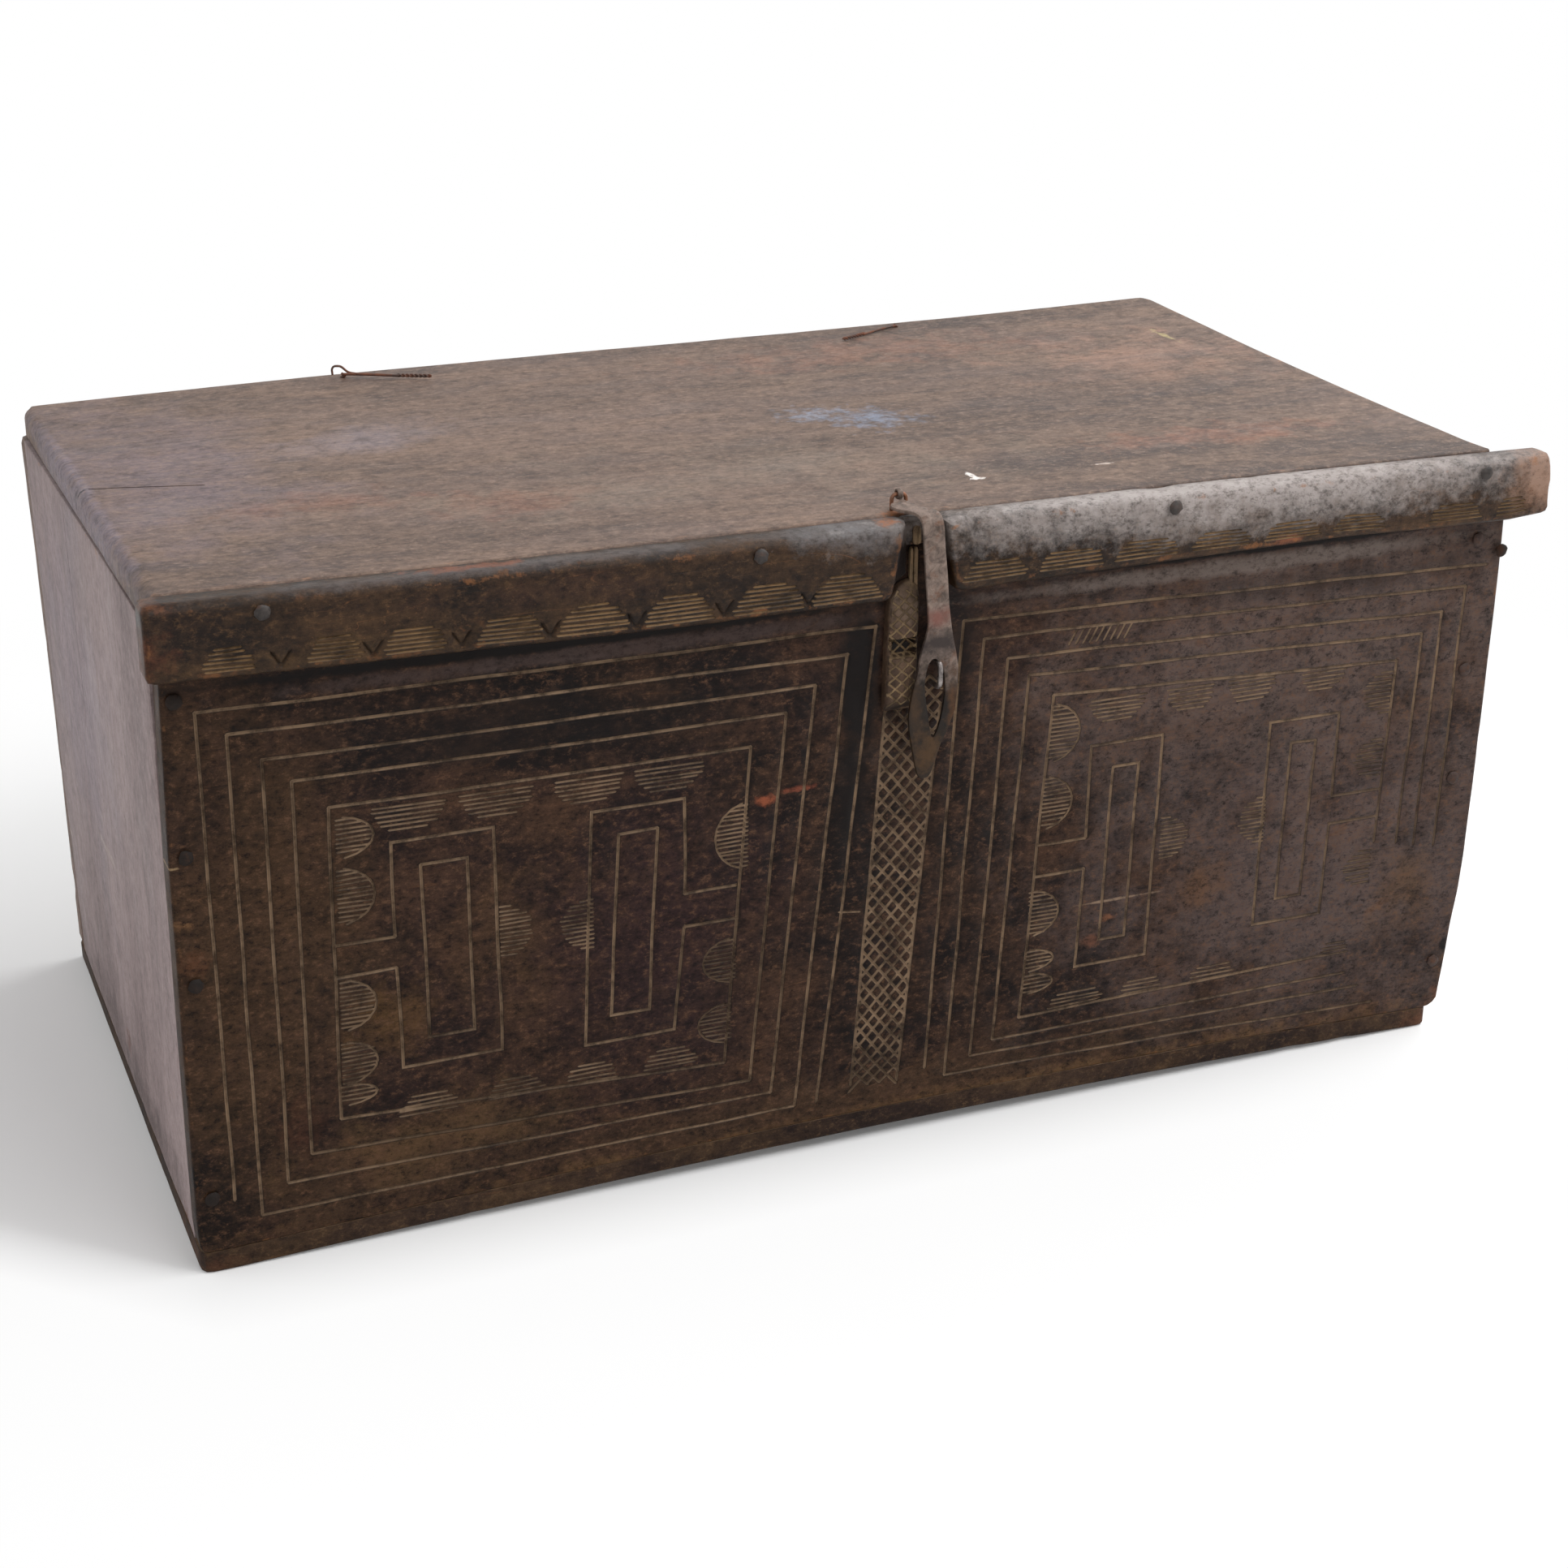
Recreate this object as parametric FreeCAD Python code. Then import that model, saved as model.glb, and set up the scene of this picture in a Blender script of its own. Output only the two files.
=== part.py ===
"""Coffer chest: a nailed six-board chest with a lid on snipe hinges and a strap hasp.

Millimetres. +X runs along the chest to the right, +Y to the back, +Z up.
The origin is the centre of the chest's footprint, on the underside of the bottom board.
"""
import FreeCAD, Part
import math
import os

from FreeCAD import Vector

# ---- body boards -----------------------------------------------------------
body_length = 896.0
body_depth = 466.0
wall_height = 393.0
wall_thickness = 20.0
end_thickness = 20.0
bottom_thickness = 14.0
right_end_inset = 10.0
bottom_setback_right = 19.5
foot_trim_width = 12.0
foot_trim_height = 120.0

# ---- lid and its front batten ----------------------------------------------
lid_thickness = 20.0
lid_overhang_left = 1.5
lid_setback_right = 14.5
lid_overhang_front = 1.5
lid_overhang_rear = 1.0
lid_arris_radius = 3.0
batten_thickness = 18.5
batten_height = 46.0
batten_top_drop = 1.0
batten_overhang_left = 8.0
batten_overhang_right = 19.0
batten_top_round = 7.0
batten_foot_round = 3.0
batten_face_bulge = 1.2
notch_x = 10.0
notch_top_width = 25.0
notch_foot_width = 43.0
notch_web = 4.0

# ---- carved tongue on the front board, behind the hasp -----------------------
tongue_x = 3.0
tongue_width = 22.0
tongue_crest = 8.0
tongue_top_drop = 21.0
tongue_length = 84.0
hollow_drop = 39.0
hollow_height = 9.0
hollow_width = 14.0
hollow_floor = 1.0
stem_x = 10.5
stem_width = 6.0
stem_crest = 3.0
stem_top_drop = 1.0

# ---- carved lines on the front -----------------------------------------------
carving_width = 2.2
carving_depth = 1.1
# how far in from the outermost line of a panel each nested line lies
ring_shares = (0.0, 0.23, 0.49, 0.72, 1.0)
# corners of a panel's outermost and innermost line, clockwise from the top left: how far from
# the board's edge or from the notch's middle, then how far below the rim or above the foot
left_panel_outer = ((21.0, 51.0), (-22.0, 51.0), (-58.0, 4.0), (23.5, 2.0))
left_panel_inner = ((93.0, 118.0), (-104.0, 118.0), (-121.0, 63.0), (90.0, 74.0))
right_panel_outer = ((37.0, 55.0), (-11.0, 62.0), (-17.0, -2.0), (19.5, 8.5))
right_panel_inner = ((103.0, 113.0), (-75.5, 123.0), (-82.0, 58.0), (89.0, 54.0))
# where the right panel's nested lines stop: share of the right side, share of the foot
right_panel_breaks = (0.38, 0.90)
# the open frames of each panel: opening to the left or the right, gap to the innermost line,
# width, drop below the rim, height, sideways lean of the foot
left_frames = ((-1, 37.0, 62.0, 145.0, 147.0, 1.0), (1, 35.0, 59.0, 145.0, 155.0, -7.0))
right_frames = ((-1, 36.5, 53.0, 151.5, 157.0, -3.0), (1, 39.0, 53.0, 154.5, 147.5, -2.0))
frame_inset = 17.0
frame_channel = (0.59, 0.45)
band_top_drop = 107.0
band_foot_height = 20.0
band_top_sides = (-15.0, 23.0)
band_foot_sides = (-33.0, 0.0)
band_pitch = 10.6
band_rise = 40.0

# ---- nails -----------------------------------------------------------------
nail_shank_diameter = 3.6
nail_point_length = 8.0
nail_point_diameter = 0.8
nail_head_diameter = 10.0
nail_head_height = 2.4
nail_head_crown = 0.5
corner_nail_length = 52.0
corner_nail_foot_margin = 37.0
corner_nail_top_margin = 43.0
corner_nail_spread = (0.0, 0.447, 0.703, 1.0)
batten_nail_length = 48.0
batten_nail_left_margin = 66.0
batten_nail_right_margin = 54.0
batten_nail_spread = (0.0, 0.361, 0.703, 1.0)
bottom_nail_length = 45.0
bottom_nail_margin = 70.0
bottom_nail_count = 5
bottom_cross_margin = 90.0
bottom_cross_count = 3
edge_nail_margin = 2.5
edge_nail_drop = 52.0
edge_nail_length = 22.0
edge_nail_stand_off = 2.0
pilot_clearance = 0.05
sinking_clearance = 0.3

# ---- hasp, its eye on the lid and the lock staple ----------------------------
eye_x = 3.5
eye_setback = 8.5
eye_wire_diameter = 2.6
eye_width = 12.0
eye_pivot_height = 9.5
eye_corner_radius = 3.0
eye_leg_depth = 17.0
hasp_thickness = 2.4
hasp_knuckle_width = 3.6
hasp_knuckle_bore = 3.8
hasp_knuckle_wall = 1.7
hasp_arm_left = 10.0
hasp_arm_right = 5.0
hasp_lid_clearance = 0.6
hasp_batten_clearance = 0.5
hasp_stand_off = 10.0
hasp_shoulder_drop = 82.0
hasp_kick_drop = 117.0
hasp_toe_stand_off = 16.0
hasp_length = 169.0
# drop below the lid's top, middle of the strap from the chest's middle, half width there
hasp_stations = (
    (-2.0, 12.0, 7.0),
    (37.0, 18.4, 7.6),
    (70.0, 23.8, 7.8),
    (99.0, 24.4, 13.8),
    (127.0, 20.4, 16.2),
    (148.0, 16.0, 9.5),
    (164.0, 14.0, 5.0),
)
slot_x = 23.0
slot_width = 15.0
slot_top_drop = 91.0
slot_length = 42.0
lock_x = 25.5
lock_drop = 103.0
lock_wire_diameter = 3.6
lock_leg_spacing = 17.0
lock_reach = 14.0
lock_corner_radius = 5.0
lock_clench_length = 14.0

# ---- snipe hinges ------------------------------------------------------------
hinge_left_margin = 223.0
hinge_right_margin = 238.0
hinge_wire_diameter = 3.2
hinge_ring_radius = 5.0
hinge_ring_gap = 0.5
hinge_slope_degrees = 40.0
hinge_stem_diameter = 4.4
hinge_clench_length = 64.0
hinge_clench_turn = 26.0
hinge_back_clench_length = 26.0
curl_radius = 3.8
curl_wire_diameter = 2.6
link_wire_diameter = 2.2
wire_hole_clearance = 0.05

# ---- places worked out from the sizes above ----------------------------------
left = -body_length / 2
right = body_length / 2
front = -body_depth / 2
back = body_depth / 2
rim = bottom_thickness + wall_height
lid_top = rim + lid_thickness
lid_left = left - lid_overhang_left
lid_right = right - lid_setback_right
lid_front = front - lid_overhang_front
lid_rear = back + lid_overhang_rear
right_end_face = right - right_end_inset
batten_front = lid_front - batten_thickness
batten_top = lid_top - batten_top_drop
batten_foot = batten_top - batten_height
bottom_right = right - bottom_setback_right
eye_y = lid_front + eye_setback
eye_z = lid_top + eye_pivot_height
lock_z = lid_top - lock_drop
left_nail_x = left + end_thickness / 2
right_nail_x = right_end_face - end_thickness / 2
nail_hole_radius = nail_shank_diameter / 2 + pilot_clearance

X_AXIS = Vector(1, 0, 0)
Y_AXIS = Vector(0, 1, 0)
Z_AXIS = Vector(0, 0, 1)


# ---- helpers -----------------------------------------------------------------
def box(x_low, x_high, y_low, y_high, z_low, z_high):
    """A box between two corners."""
    corner = Vector(x_low, y_low, z_low)
    return Part.makeBox(x_high - x_low, y_high - y_low, z_high - z_low, corner)


def prism_along_y(outline, y_low, y_high):
    """An (x, z) outline, run from one depth to another."""
    points = [Vector(x, y_low, z) for x, z in outline]
    face = Part.Face(Part.makePolygon(points + points[:1]))
    return face.extrude(Vector(0, y_high - y_low, 0))


def prism_along_x(outline, x_low, x_high):
    """A (y, z) outline, run from one side to another."""
    points = [Vector(x_low, y, z) for y, z in outline]
    face = Part.Face(Part.makePolygon(points + points[:1]))
    return face.extrude(Vector(x_high - x_low, 0, 0))


def spaced(first, last, shares):
    """Places between first and last at the given shares of the run."""
    return [first + (last - first) * share for share in shares]


def even_shares(count):
    """Shares of a run for evenly spaced places, its two ends among them."""
    return [index / (count - 1) for index in range(count)]


def wire_through(points, diameter):
    """Round wire along straight runs, with a ball at every turn and end."""
    radius = diameter / 2
    pieces = [Part.makeSphere(radius, point) for point in points]
    for start, end in zip(points, points[1:]):
        run = end - start
        pieces.append(Part.makeCylinder(radius, run.Length, start, run))
    return pieces[0].multiFuse(pieces[1:]).removeSplitter()


def bent_wire(points, bend_radius, diameter):
    """Round wire along runs joined by tangent arcs of one radius."""
    edges = []
    start = points[0]
    for before, corner, after in zip(points, points[1:], points[2:]):
        back_way = (before - corner).normalize()
        on_way = (after - corner).normalize()
        half_angle = back_way.getAngle(on_way) / 2
        setback = bend_radius / math.tan(half_angle)
        arc_start = corner + back_way * setback
        arc_end = corner + on_way * setback
        middle_way = (back_way + on_way).normalize()
        reach = bend_radius / math.sin(half_angle) - bend_radius
        arc_middle = corner + middle_way * reach
        edges.append(Part.LineSegment(start, arc_start).toShape())
        edges.append(Part.Arc(arc_start, arc_middle, arc_end).toShape())
        start = arc_end
    edges.append(Part.LineSegment(start, points[-1]).toShape())
    path = Part.Wire(edges)
    first_way = points[1] - points[0]
    profile = Part.Wire(Part.makeCircle(diameter / 2, points[0], first_way))
    return path.makePipeShell([profile], True, False)


def ribbon(points, thickness):
    """The (y, z) outline of a strip of one thickness along a middle line."""
    half = thickness / 2
    one_side = []
    other_side = []
    for index, (y, z) in enumerate(points):
        before = points[max(index - 1, 0)]
        after = points[min(index + 1, len(points) - 1)]
        way_in = Vector(0, y - before[0], z - before[1])
        way_out = Vector(0, after[0] - y, after[1] - z)
        if index == 0:
            way_in = way_out
        if index == len(points) - 1:
            way_out = way_in
        way_in.normalize()
        way_out.normalize()
        normal_in = Vector(0, -way_in.z, way_in.y)
        normal_out = Vector(0, -way_out.z, way_out.y)
        mitre = (normal_in + normal_out).normalize()
        reach = half / mitre.dot(normal_in)
        one_side.append((y + mitre.y * reach, z + mitre.z * reach))
        other_side.append((y - mitre.y * reach, z - mitre.z * reach))
    return one_side + other_side[::-1]


# ---- nails -------------------------------------------------------------------
def nail(place, way, length, stand_off=0.0):
    """A forged nail driven from place along way; the head stays outside the surface."""
    head_seat = place - way * stand_off
    head_radius = nail_head_diameter / 2
    shank_radius = nail_shank_diameter / 2
    crown_radius = head_radius * nail_head_crown
    head = Part.makeCone(head_radius, crown_radius, nail_head_height, head_seat, way * -1)
    straight = length - nail_point_length
    shank = Part.makeCylinder(shank_radius, straight, head_seat, way)
    point_start = head_seat + way * straight
    point = Part.makeCone(shank_radius, nail_point_diameter / 2, nail_point_length, point_start, way)
    return head.fuse([shank, point]).removeSplitter()


def nail_hole(place, way, length):
    """The hole that a nail leaves in the boards it passes."""
    return Part.makeCylinder(nail_hole_radius, length + pilot_clearance, place, way)


def group(solids):
    """Separate solids kept in one node."""
    return Part.makeCompound(solids)


def corner_nail_places(x, face_y):
    """The nails of one corner, from the foot to the rim."""
    low = bottom_thickness + corner_nail_foot_margin
    high = rim - corner_nail_top_margin
    return [Vector(x, face_y, z) for z in spaced(low, high, corner_nail_spread)]


def bottom_row_places(y):
    """The nails that go up into the front or the back board."""
    first = left + bottom_nail_margin
    last = bottom_right - bottom_nail_margin
    return [Vector(x, y, 0) for x in spaced(first, last, even_shares(bottom_nail_count))]


def bottom_end_places(x):
    """The nails that go up into an end board."""
    first = front + bottom_cross_margin
    last = back - bottom_cross_margin
    return [Vector(x, y, 0) for y in spaced(first, last, even_shares(bottom_cross_count))]


front_left_places = corner_nail_places(left_nail_x, front)
front_right_places = corner_nail_places(right_nail_x, front)
back_left_places = corner_nail_places(left_nail_x, back)
back_right_places = corner_nail_places(right_nail_x, back)
bottom_front_places = bottom_row_places(front + wall_thickness / 2)
bottom_back_places = bottom_row_places(back - wall_thickness / 2)
right_seat_x = (right_end_face - end_thickness + bottom_right) / 2
bottom_end_nail_places = bottom_end_places(left_nail_x) + bottom_end_places(right_seat_x)
edge_nail_place = Vector(right - edge_nail_margin, front, rim - edge_nail_drop)
batten_nail_first = left - batten_overhang_left + batten_nail_left_margin
batten_nail_last = right + batten_overhang_right - batten_nail_right_margin
batten_nail_z = rim + lid_thickness / 2
batten_nail_places = [
    Vector(x, batten_front, batten_nail_z)
    for x in spaced(batten_nail_first, batten_nail_last, batten_nail_spread)
]
sunk_bottom_places = bottom_front_places + bottom_back_places + bottom_end_nail_places


def drill(board, places, way, length):
    """Cut the nails' holes from a board."""
    return board.cut([nail_hole(place, way, length) for place in places])


def sunk_nail(place):
    """A bottom nail with its head below the underside."""
    return nail(place + Z_AXIS * sunk_depth, Z_AXIS, bottom_nail_length)


sunk_depth = nail_head_height + sinking_clearance


def sinking(place):
    """The recess that hides a bottom nail's head."""
    radius = nail_head_diameter / 2 + sinking_clearance
    return Part.makeCylinder(radius, sunk_depth, place, Z_AXIS)


# ---- hinges ------------------------------------------------------------------
hinge_wire_radius = hinge_wire_diameter / 2
hinge_slope = math.radians(hinge_slope_degrees)
hinge_up = Vector(0, -math.cos(hinge_slope), math.sin(hinge_slope))
hinge_down = Vector(0, -math.cos(hinge_slope), -math.sin(hinge_slope))
ring_reach = 2 * hinge_ring_radius + hinge_wire_radius
hinge_y = back + ring_reach * math.cos(hinge_slope) + hinge_ring_gap
hinge_z = rim
hinge_left_x = left + hinge_left_margin
hinge_right_x = right - hinge_right_margin


def lid_stem_exit(x):
    """Where a lid pin's stem comes out of the lid's top and its leg lies down."""
    run = (lid_thickness + hinge_wire_radius) / math.sin(hinge_slope)
    return Vector(x, hinge_y, hinge_z) + hinge_up * run


def back_stem_exit(x):
    """Where a back pin's stem comes out of the back board's inner face."""
    run = (hinge_y - back + wall_thickness + hinge_wire_radius) / math.cos(hinge_slope)
    return Vector(x, hinge_y, hinge_z) + hinge_down * run


def stem(start, end, diameter):
    """A straight pin between two points."""
    run = end - start
    return Part.makeCylinder(diameter / 2, run.Length, start, run)


def lid_pin(x, clench_side, curled):
    """A ring behind the lid's edge, a stem up through the lid and a leg clenched on top.

    The end of a curled pin stands up in a small loop beside its stem.
    """
    pivot = Vector(x, hinge_y, hinge_z)
    ring = Part.makeTorus(hinge_ring_radius, hinge_wire_radius, pivot, X_AXIS)
    top = lid_stem_exit(x)
    shaft = stem(pivot + hinge_up * hinge_ring_radius, top, hinge_stem_diameter)
    turn = math.radians(hinge_clench_turn)
    leg_way = Vector(clench_side * math.cos(turn), -math.sin(turn), 0)
    leg = wire_through([top, top + leg_way * hinge_clench_length], hinge_wire_diameter)
    if not curled:
        return ring.fuse([shaft, leg])
    curl_centre = top + Vector(-clench_side * curl_radius, curl_radius, curl_radius)
    curl = Part.makeTorus(curl_radius, curl_wire_diameter / 2, curl_centre, Y_AXIS)
    curl_foot = curl_centre - Z_AXIS * curl_radius
    link = stem(top, curl_foot, link_wire_diameter)
    return ring.fuse([shaft, leg, curl, link])


def back_pin(x):
    """A ring through the lid pin's ring, a stem through the back board, legs clenched inside."""
    pivot = Vector(x, hinge_y, hinge_z)
    centre = pivot + hinge_down * hinge_ring_radius
    ring_axis = X_AXIS.cross(hinge_down)
    ring = Part.makeTorus(hinge_ring_radius, hinge_wire_radius, centre, ring_axis)
    leave = back_stem_exit(x)
    shaft = stem(pivot + hinge_down * 2 * hinge_ring_radius, leave, hinge_stem_diameter)
    half_clench = X_AXIS * hinge_back_clench_length
    legs = wire_through([leave - half_clench, leave, leave + half_clench], hinge_wire_diameter)
    return ring.fuse([shaft, legs])


def stem_hole(x, way):
    """The sloping hole for a hinge pin's stem."""
    radius = hinge_stem_diameter / 2 + wire_hole_clearance
    pivot = Vector(x, hinge_y, hinge_z)
    length = 2 * (hinge_y - back + wall_thickness + lid_thickness)
    return Part.makeCylinder(radius, length, pivot, way)


# ---- hasp eye and lock staple --------------------------------------------------
eye_leg_x = (eye_width - eye_wire_diameter) / 2
eye_foot_z = lid_top - eye_leg_depth
lock_leg_half = lock_leg_spacing / 2
lock_crown_y = front - lock_reach + lock_wire_diameter / 2
inner_face = front + wall_thickness


def make_hasp_eye():
    """A wire staple driven into the lid's top, with its crown standing up."""
    path = [
        Vector(eye_x - eye_leg_x, eye_y, eye_foot_z),
        Vector(eye_x - eye_leg_x, eye_y, eye_z),
        Vector(eye_x + eye_leg_x, eye_y, eye_z),
        Vector(eye_x + eye_leg_x, eye_y, eye_foot_z),
    ]
    return bent_wire(path, eye_corner_radius, eye_wire_diameter)


def eye_holes():
    """The two holes of the eye's legs in the lid."""
    radius = eye_wire_diameter / 2 + wire_hole_clearance
    depth = eye_leg_depth + wire_hole_clearance
    feet = [Vector(eye_x + side * eye_leg_x, eye_y, lid_top - depth) for side in (-1, 1)]
    return [Part.makeCylinder(radius, depth, foot, Z_AXIS) for foot in feet]


def make_lock_staple():
    """A wire staple through the front board, with its legs clenched inside."""
    inside = inner_face + lock_wire_diameter / 2
    up = Vector(lock_x, inside, lock_z + lock_leg_half)
    down = Vector(lock_x, inside, lock_z - lock_leg_half)
    crown_up = Vector(lock_x, lock_crown_y, up.z)
    crown_down = Vector(lock_x, lock_crown_y, down.z)
    crown = bent_wire([up, crown_up, crown_down, down], lock_corner_radius, lock_wire_diameter)
    upper_leg = wire_through([up, up + Z_AXIS * lock_clench_length], lock_wire_diameter)
    lower_leg = wire_through([down, down - Z_AXIS * lock_clench_length], lock_wire_diameter)
    return crown.fuse([upper_leg, lower_leg])


def lock_holes():
    """The two holes of the lock staple's legs in the front board."""
    radius = lock_wire_diameter / 2 + wire_hole_clearance
    run = wall_thickness + tongue_crest
    starts = [Vector(lock_x, inner_face, lock_z + side * lock_leg_half) for side in (-1, 1)]
    return [Part.makeCylinder(radius, run, start, Y_AXIS * -1) for start in starts]


# ---- hasp ----------------------------------------------------------------------
knuckle_bore_radius = hasp_knuckle_bore / 2
knuckle_radius = knuckle_bore_radius + hasp_knuckle_wall
strap_top_y = batten_front - hasp_batten_clearance - hasp_thickness / 2
strap_low_y = front - hasp_stand_off - hasp_thickness / 2
toe_y = front - hasp_toe_stand_off - hasp_thickness / 2
arm_z = lid_top + hasp_lid_clearance + hasp_thickness / 2
bend_size = 3 * hasp_thickness


def hasp_strip():
    """The bent strip, as wide as its widest leaf."""
    knuckle_touch = (knuckle_radius - hasp_thickness / 2) * math.sqrt(0.5)
    middle_line = [
        (eye_y - knuckle_touch, eye_z - knuckle_touch),
        (strap_top_y + bend_size, arm_z + hasp_thickness / 4),
        (strap_top_y + bend_size / 4, arm_z - bend_size / 4),
        (strap_top_y, arm_z - bend_size),
        (strap_low_y, lid_top - hasp_shoulder_drop),
        (strap_low_y, lid_top - hasp_kick_drop),
        (toe_y, lid_top - hasp_length),
    ]
    reach = max(abs(middle) + half for drop, middle, half in hasp_stations)
    return prism_along_x(ribbon(middle_line, hasp_thickness), -reach, reach)


def hasp_outline():
    """The strap seen from the front: a narrow shank that swells into a leaf."""
    right_side = [Vector(middle + half, 0, lid_top - drop) for drop, middle, half in hasp_stations]
    left_side = [Vector(middle - half, 0, lid_top - drop) for drop, middle, half in hasp_stations]
    tip = Vector(hasp_stations[-1][1], 0, lid_top - hasp_length)
    leaf = Part.BSplineCurve()
    leaf.interpolate(left_side + [tip] + right_side[::-1])
    top = Part.LineSegment(right_side[0], left_side[0])
    face = Part.Face(Part.Wire([leaf.toShape(), top.toShape()]))
    face.translate(Vector(0, front - 2 * body_depth, 0))
    return face.extrude(Vector(0, 2 * body_depth, 0))


def hasp_arm_outline():
    """The arm seen from above: narrow at the knuckle, as wide as the strap at the bend."""
    drop, middle, half = hasp_stations[0]
    narrow = hasp_knuckle_width / 2
    wide_y = strap_top_y + bend_size
    narrow_y = eye_y - eye_wire_diameter - hasp_lid_clearance
    far_y = strap_top_y - bend_size
    corners = [
        (eye_x - narrow, eye_y),
        (eye_x - narrow, narrow_y),
        (eye_x - hasp_arm_left, narrow_y),
        (eye_x - hasp_arm_left, narrow_y - hasp_knuckle_width),
        (middle - half, wide_y),
        (middle - half, far_y),
        (middle + half, far_y),
        (middle + half, wide_y),
        (eye_x + hasp_arm_right, narrow_y),
        (eye_x + narrow, narrow_y),
        (eye_x + narrow, eye_y),
    ]
    points = [Vector(x, y, lid_top) for x, y in corners]
    face = Part.Face(Part.makePolygon(points + points[:1]))
    return face.extrude(Vector(0, 0, 2 * eye_pivot_height))


def hasp_slot():
    """The slot that drops over the lock staple."""
    radius = slot_width / 2
    high = lid_top - slot_top_drop - radius
    low = lid_top - slot_top_drop - slot_length + radius
    start = strap_low_y + body_depth / 4
    through = body_depth / 2
    ends = [Vector(slot_x, start, z) for z in (high, low)]
    rounds = [Part.makeCylinder(radius, through, end, Y_AXIS * -1) for end in ends]
    middle = box(slot_x - radius, slot_x + radius, start - through, start, low, high)
    return middle.fuse(rounds)


def make_hasp():
    """The knuckle round the eye's crown, the arm over the batten and the slotted strap."""
    strip = hasp_strip()
    strap = strip.common(hasp_outline()).cut(hasp_slot())
    arm = strip.common(hasp_arm_outline())
    start = Vector(eye_x - hasp_knuckle_width / 2, eye_y, eye_z)
    knuckle = Part.makeCylinder(knuckle_radius, hasp_knuckle_width, start, X_AXIS)
    bore = Part.makeCylinder(knuckle_bore_radius, hasp_knuckle_width, start, X_AXIS)
    return strap.fuse([arm, knuckle]).cut(bore).removeSplitter()


# ---- carving -------------------------------------------------------------------
def carved_line(points):
    """V-shaped cuts in the front face along straight runs between (x, z) points."""
    cuts = []
    proud = carving_depth
    for start, end in zip(points, points[1:]):
        run = Vector(end[0] - start[0], 0, end[1] - start[1])
        way = Vector(run).normalize()
        across = way.cross(Y_AXIS) * carving_width
        tail = Vector(start[0], front - proud, start[1]) - way * (carving_width / 2)
        valley = tail + Y_AXIS * (proud + carving_depth)
        profile = Part.makePolygon([tail - across, tail + across, valley, tail - across])
        cuts.append(Part.Face(profile).extrude(run + way * carving_width))
    return cuts


def between(start, end, share):
    """The place at a share of the way between two (x, z) places."""
    return (start[0] + (end[0] - start[0]) * share, start[1] + (end[1] - start[1]) * share)


def panel_corners(outer, inner, share, left_edge, right_edge):
    """The four corners of a panel's nested line, clockwise from the top left."""
    top_left, top_right, foot_right, foot_left = map(between, outer, inner, [share] * 4)
    return [
        (left_edge + top_left[0], rim - top_left[1]),
        (right_edge + top_right[0], rim - top_right[1]),
        (right_edge + foot_right[0], bottom_thickness + foot_right[1]),
        (left_edge + foot_left[0], bottom_thickness + foot_left[1]),
    ]


def carved_frame(frame, inner_corners):
    """An upright frame with a channel out to the innermost line and a closed frame inside."""
    side, gap, width, drop, height, lean = frame
    top_left, top_right, foot_right, foot_left = inner_corners
    edge = (top_left, foot_left) if side < 0 else (top_right, foot_right)
    middle_share = (drop + height / 2 - rim + edge[0][1]) / (edge[0][1] - edge[1][1])
    end_x = between(edge[0], edge[1], middle_share)[0]
    near = end_x - side * gap
    far = near - side * width
    top = rim - drop
    foot = top - height
    high = foot + height * frame_channel[0]
    low = foot + height * frame_channel[1]
    outer = [(near, low), (near + lean, foot), (far + lean, foot), (far, top), (near, top)]
    inset = side * frame_inset
    inner_near = near - inset
    inner_far = far + inset
    inner = [
        (inner_near, top - frame_inset),
        (inner_far, top - frame_inset),
        (inner_far + lean, foot + frame_inset),
        (inner_near + lean, foot + frame_inset),
        (inner_near, top - frame_inset),
    ]
    cuts = carved_line([(end_x, low)] + outer + [(near, high), (end_x, high)])
    return cuts + carved_line(inner)


def carved_left_panel():
    """Nested lines, the outermost one open at the foot, round two open frames."""
    cuts = []
    for share in ring_shares:
        corners = panel_corners(left_panel_outer, left_panel_inner, share, left, notch_x)
        top_left, top_right, foot_right, foot_left = corners
        ring = [foot_left, top_left, top_right, foot_right]
        cuts += carved_line(ring if share == ring_shares[0] else ring + [foot_left])
    for frame in left_frames:
        cuts += carved_frame(frame, corners)
    return cuts


def carved_right_panel():
    """Nested lines that stop short at the right side and at the foot, round two open frames."""
    cuts = []
    for share in ring_shares:
        corners = panel_corners(right_panel_outer, right_panel_inner, share, notch_x, right)
        top_left, top_right, foot_right, foot_left = corners
        if share == ring_shares[0]:
            ring = [foot_left, top_left, top_right]
        else:
            right_stop = between(foot_right, top_right, right_panel_breaks[0])
            foot_stop = between(foot_left, foot_right, right_panel_breaks[1])
            ring = [right_stop, top_right, top_left, foot_left, foot_stop]
        cuts += carved_line(ring)
    for frame in right_frames:
        cuts += carved_frame(frame, corners)
    return cuts


def carved_band():
    """The band of crossing diagonals between two side lines, below the tongue."""
    top = rim - band_top_drop
    foot = bottom_thickness + band_foot_height
    sides = [
        ((notch_x + low_x, foot), (notch_x + high_x, top))
        for low_x, high_x in zip(band_foot_sides, band_top_sides)
    ]
    cuts = carved_line(sides[0]) + carved_line(sides[1])
    rise_share = band_rise / (top - foot)
    count = int((1 - rise_share) * (top - foot) / band_pitch)
    for index in range(count + 1):
        low_share = index * band_pitch / (top - foot)
        for start_side, end_side in (sides, sides[::-1]):
            low_end = between(*start_side, low_share)
            high_end = between(*end_side, low_share + rise_share)
            cuts += carved_line([low_end, high_end])
    return cuts


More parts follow.
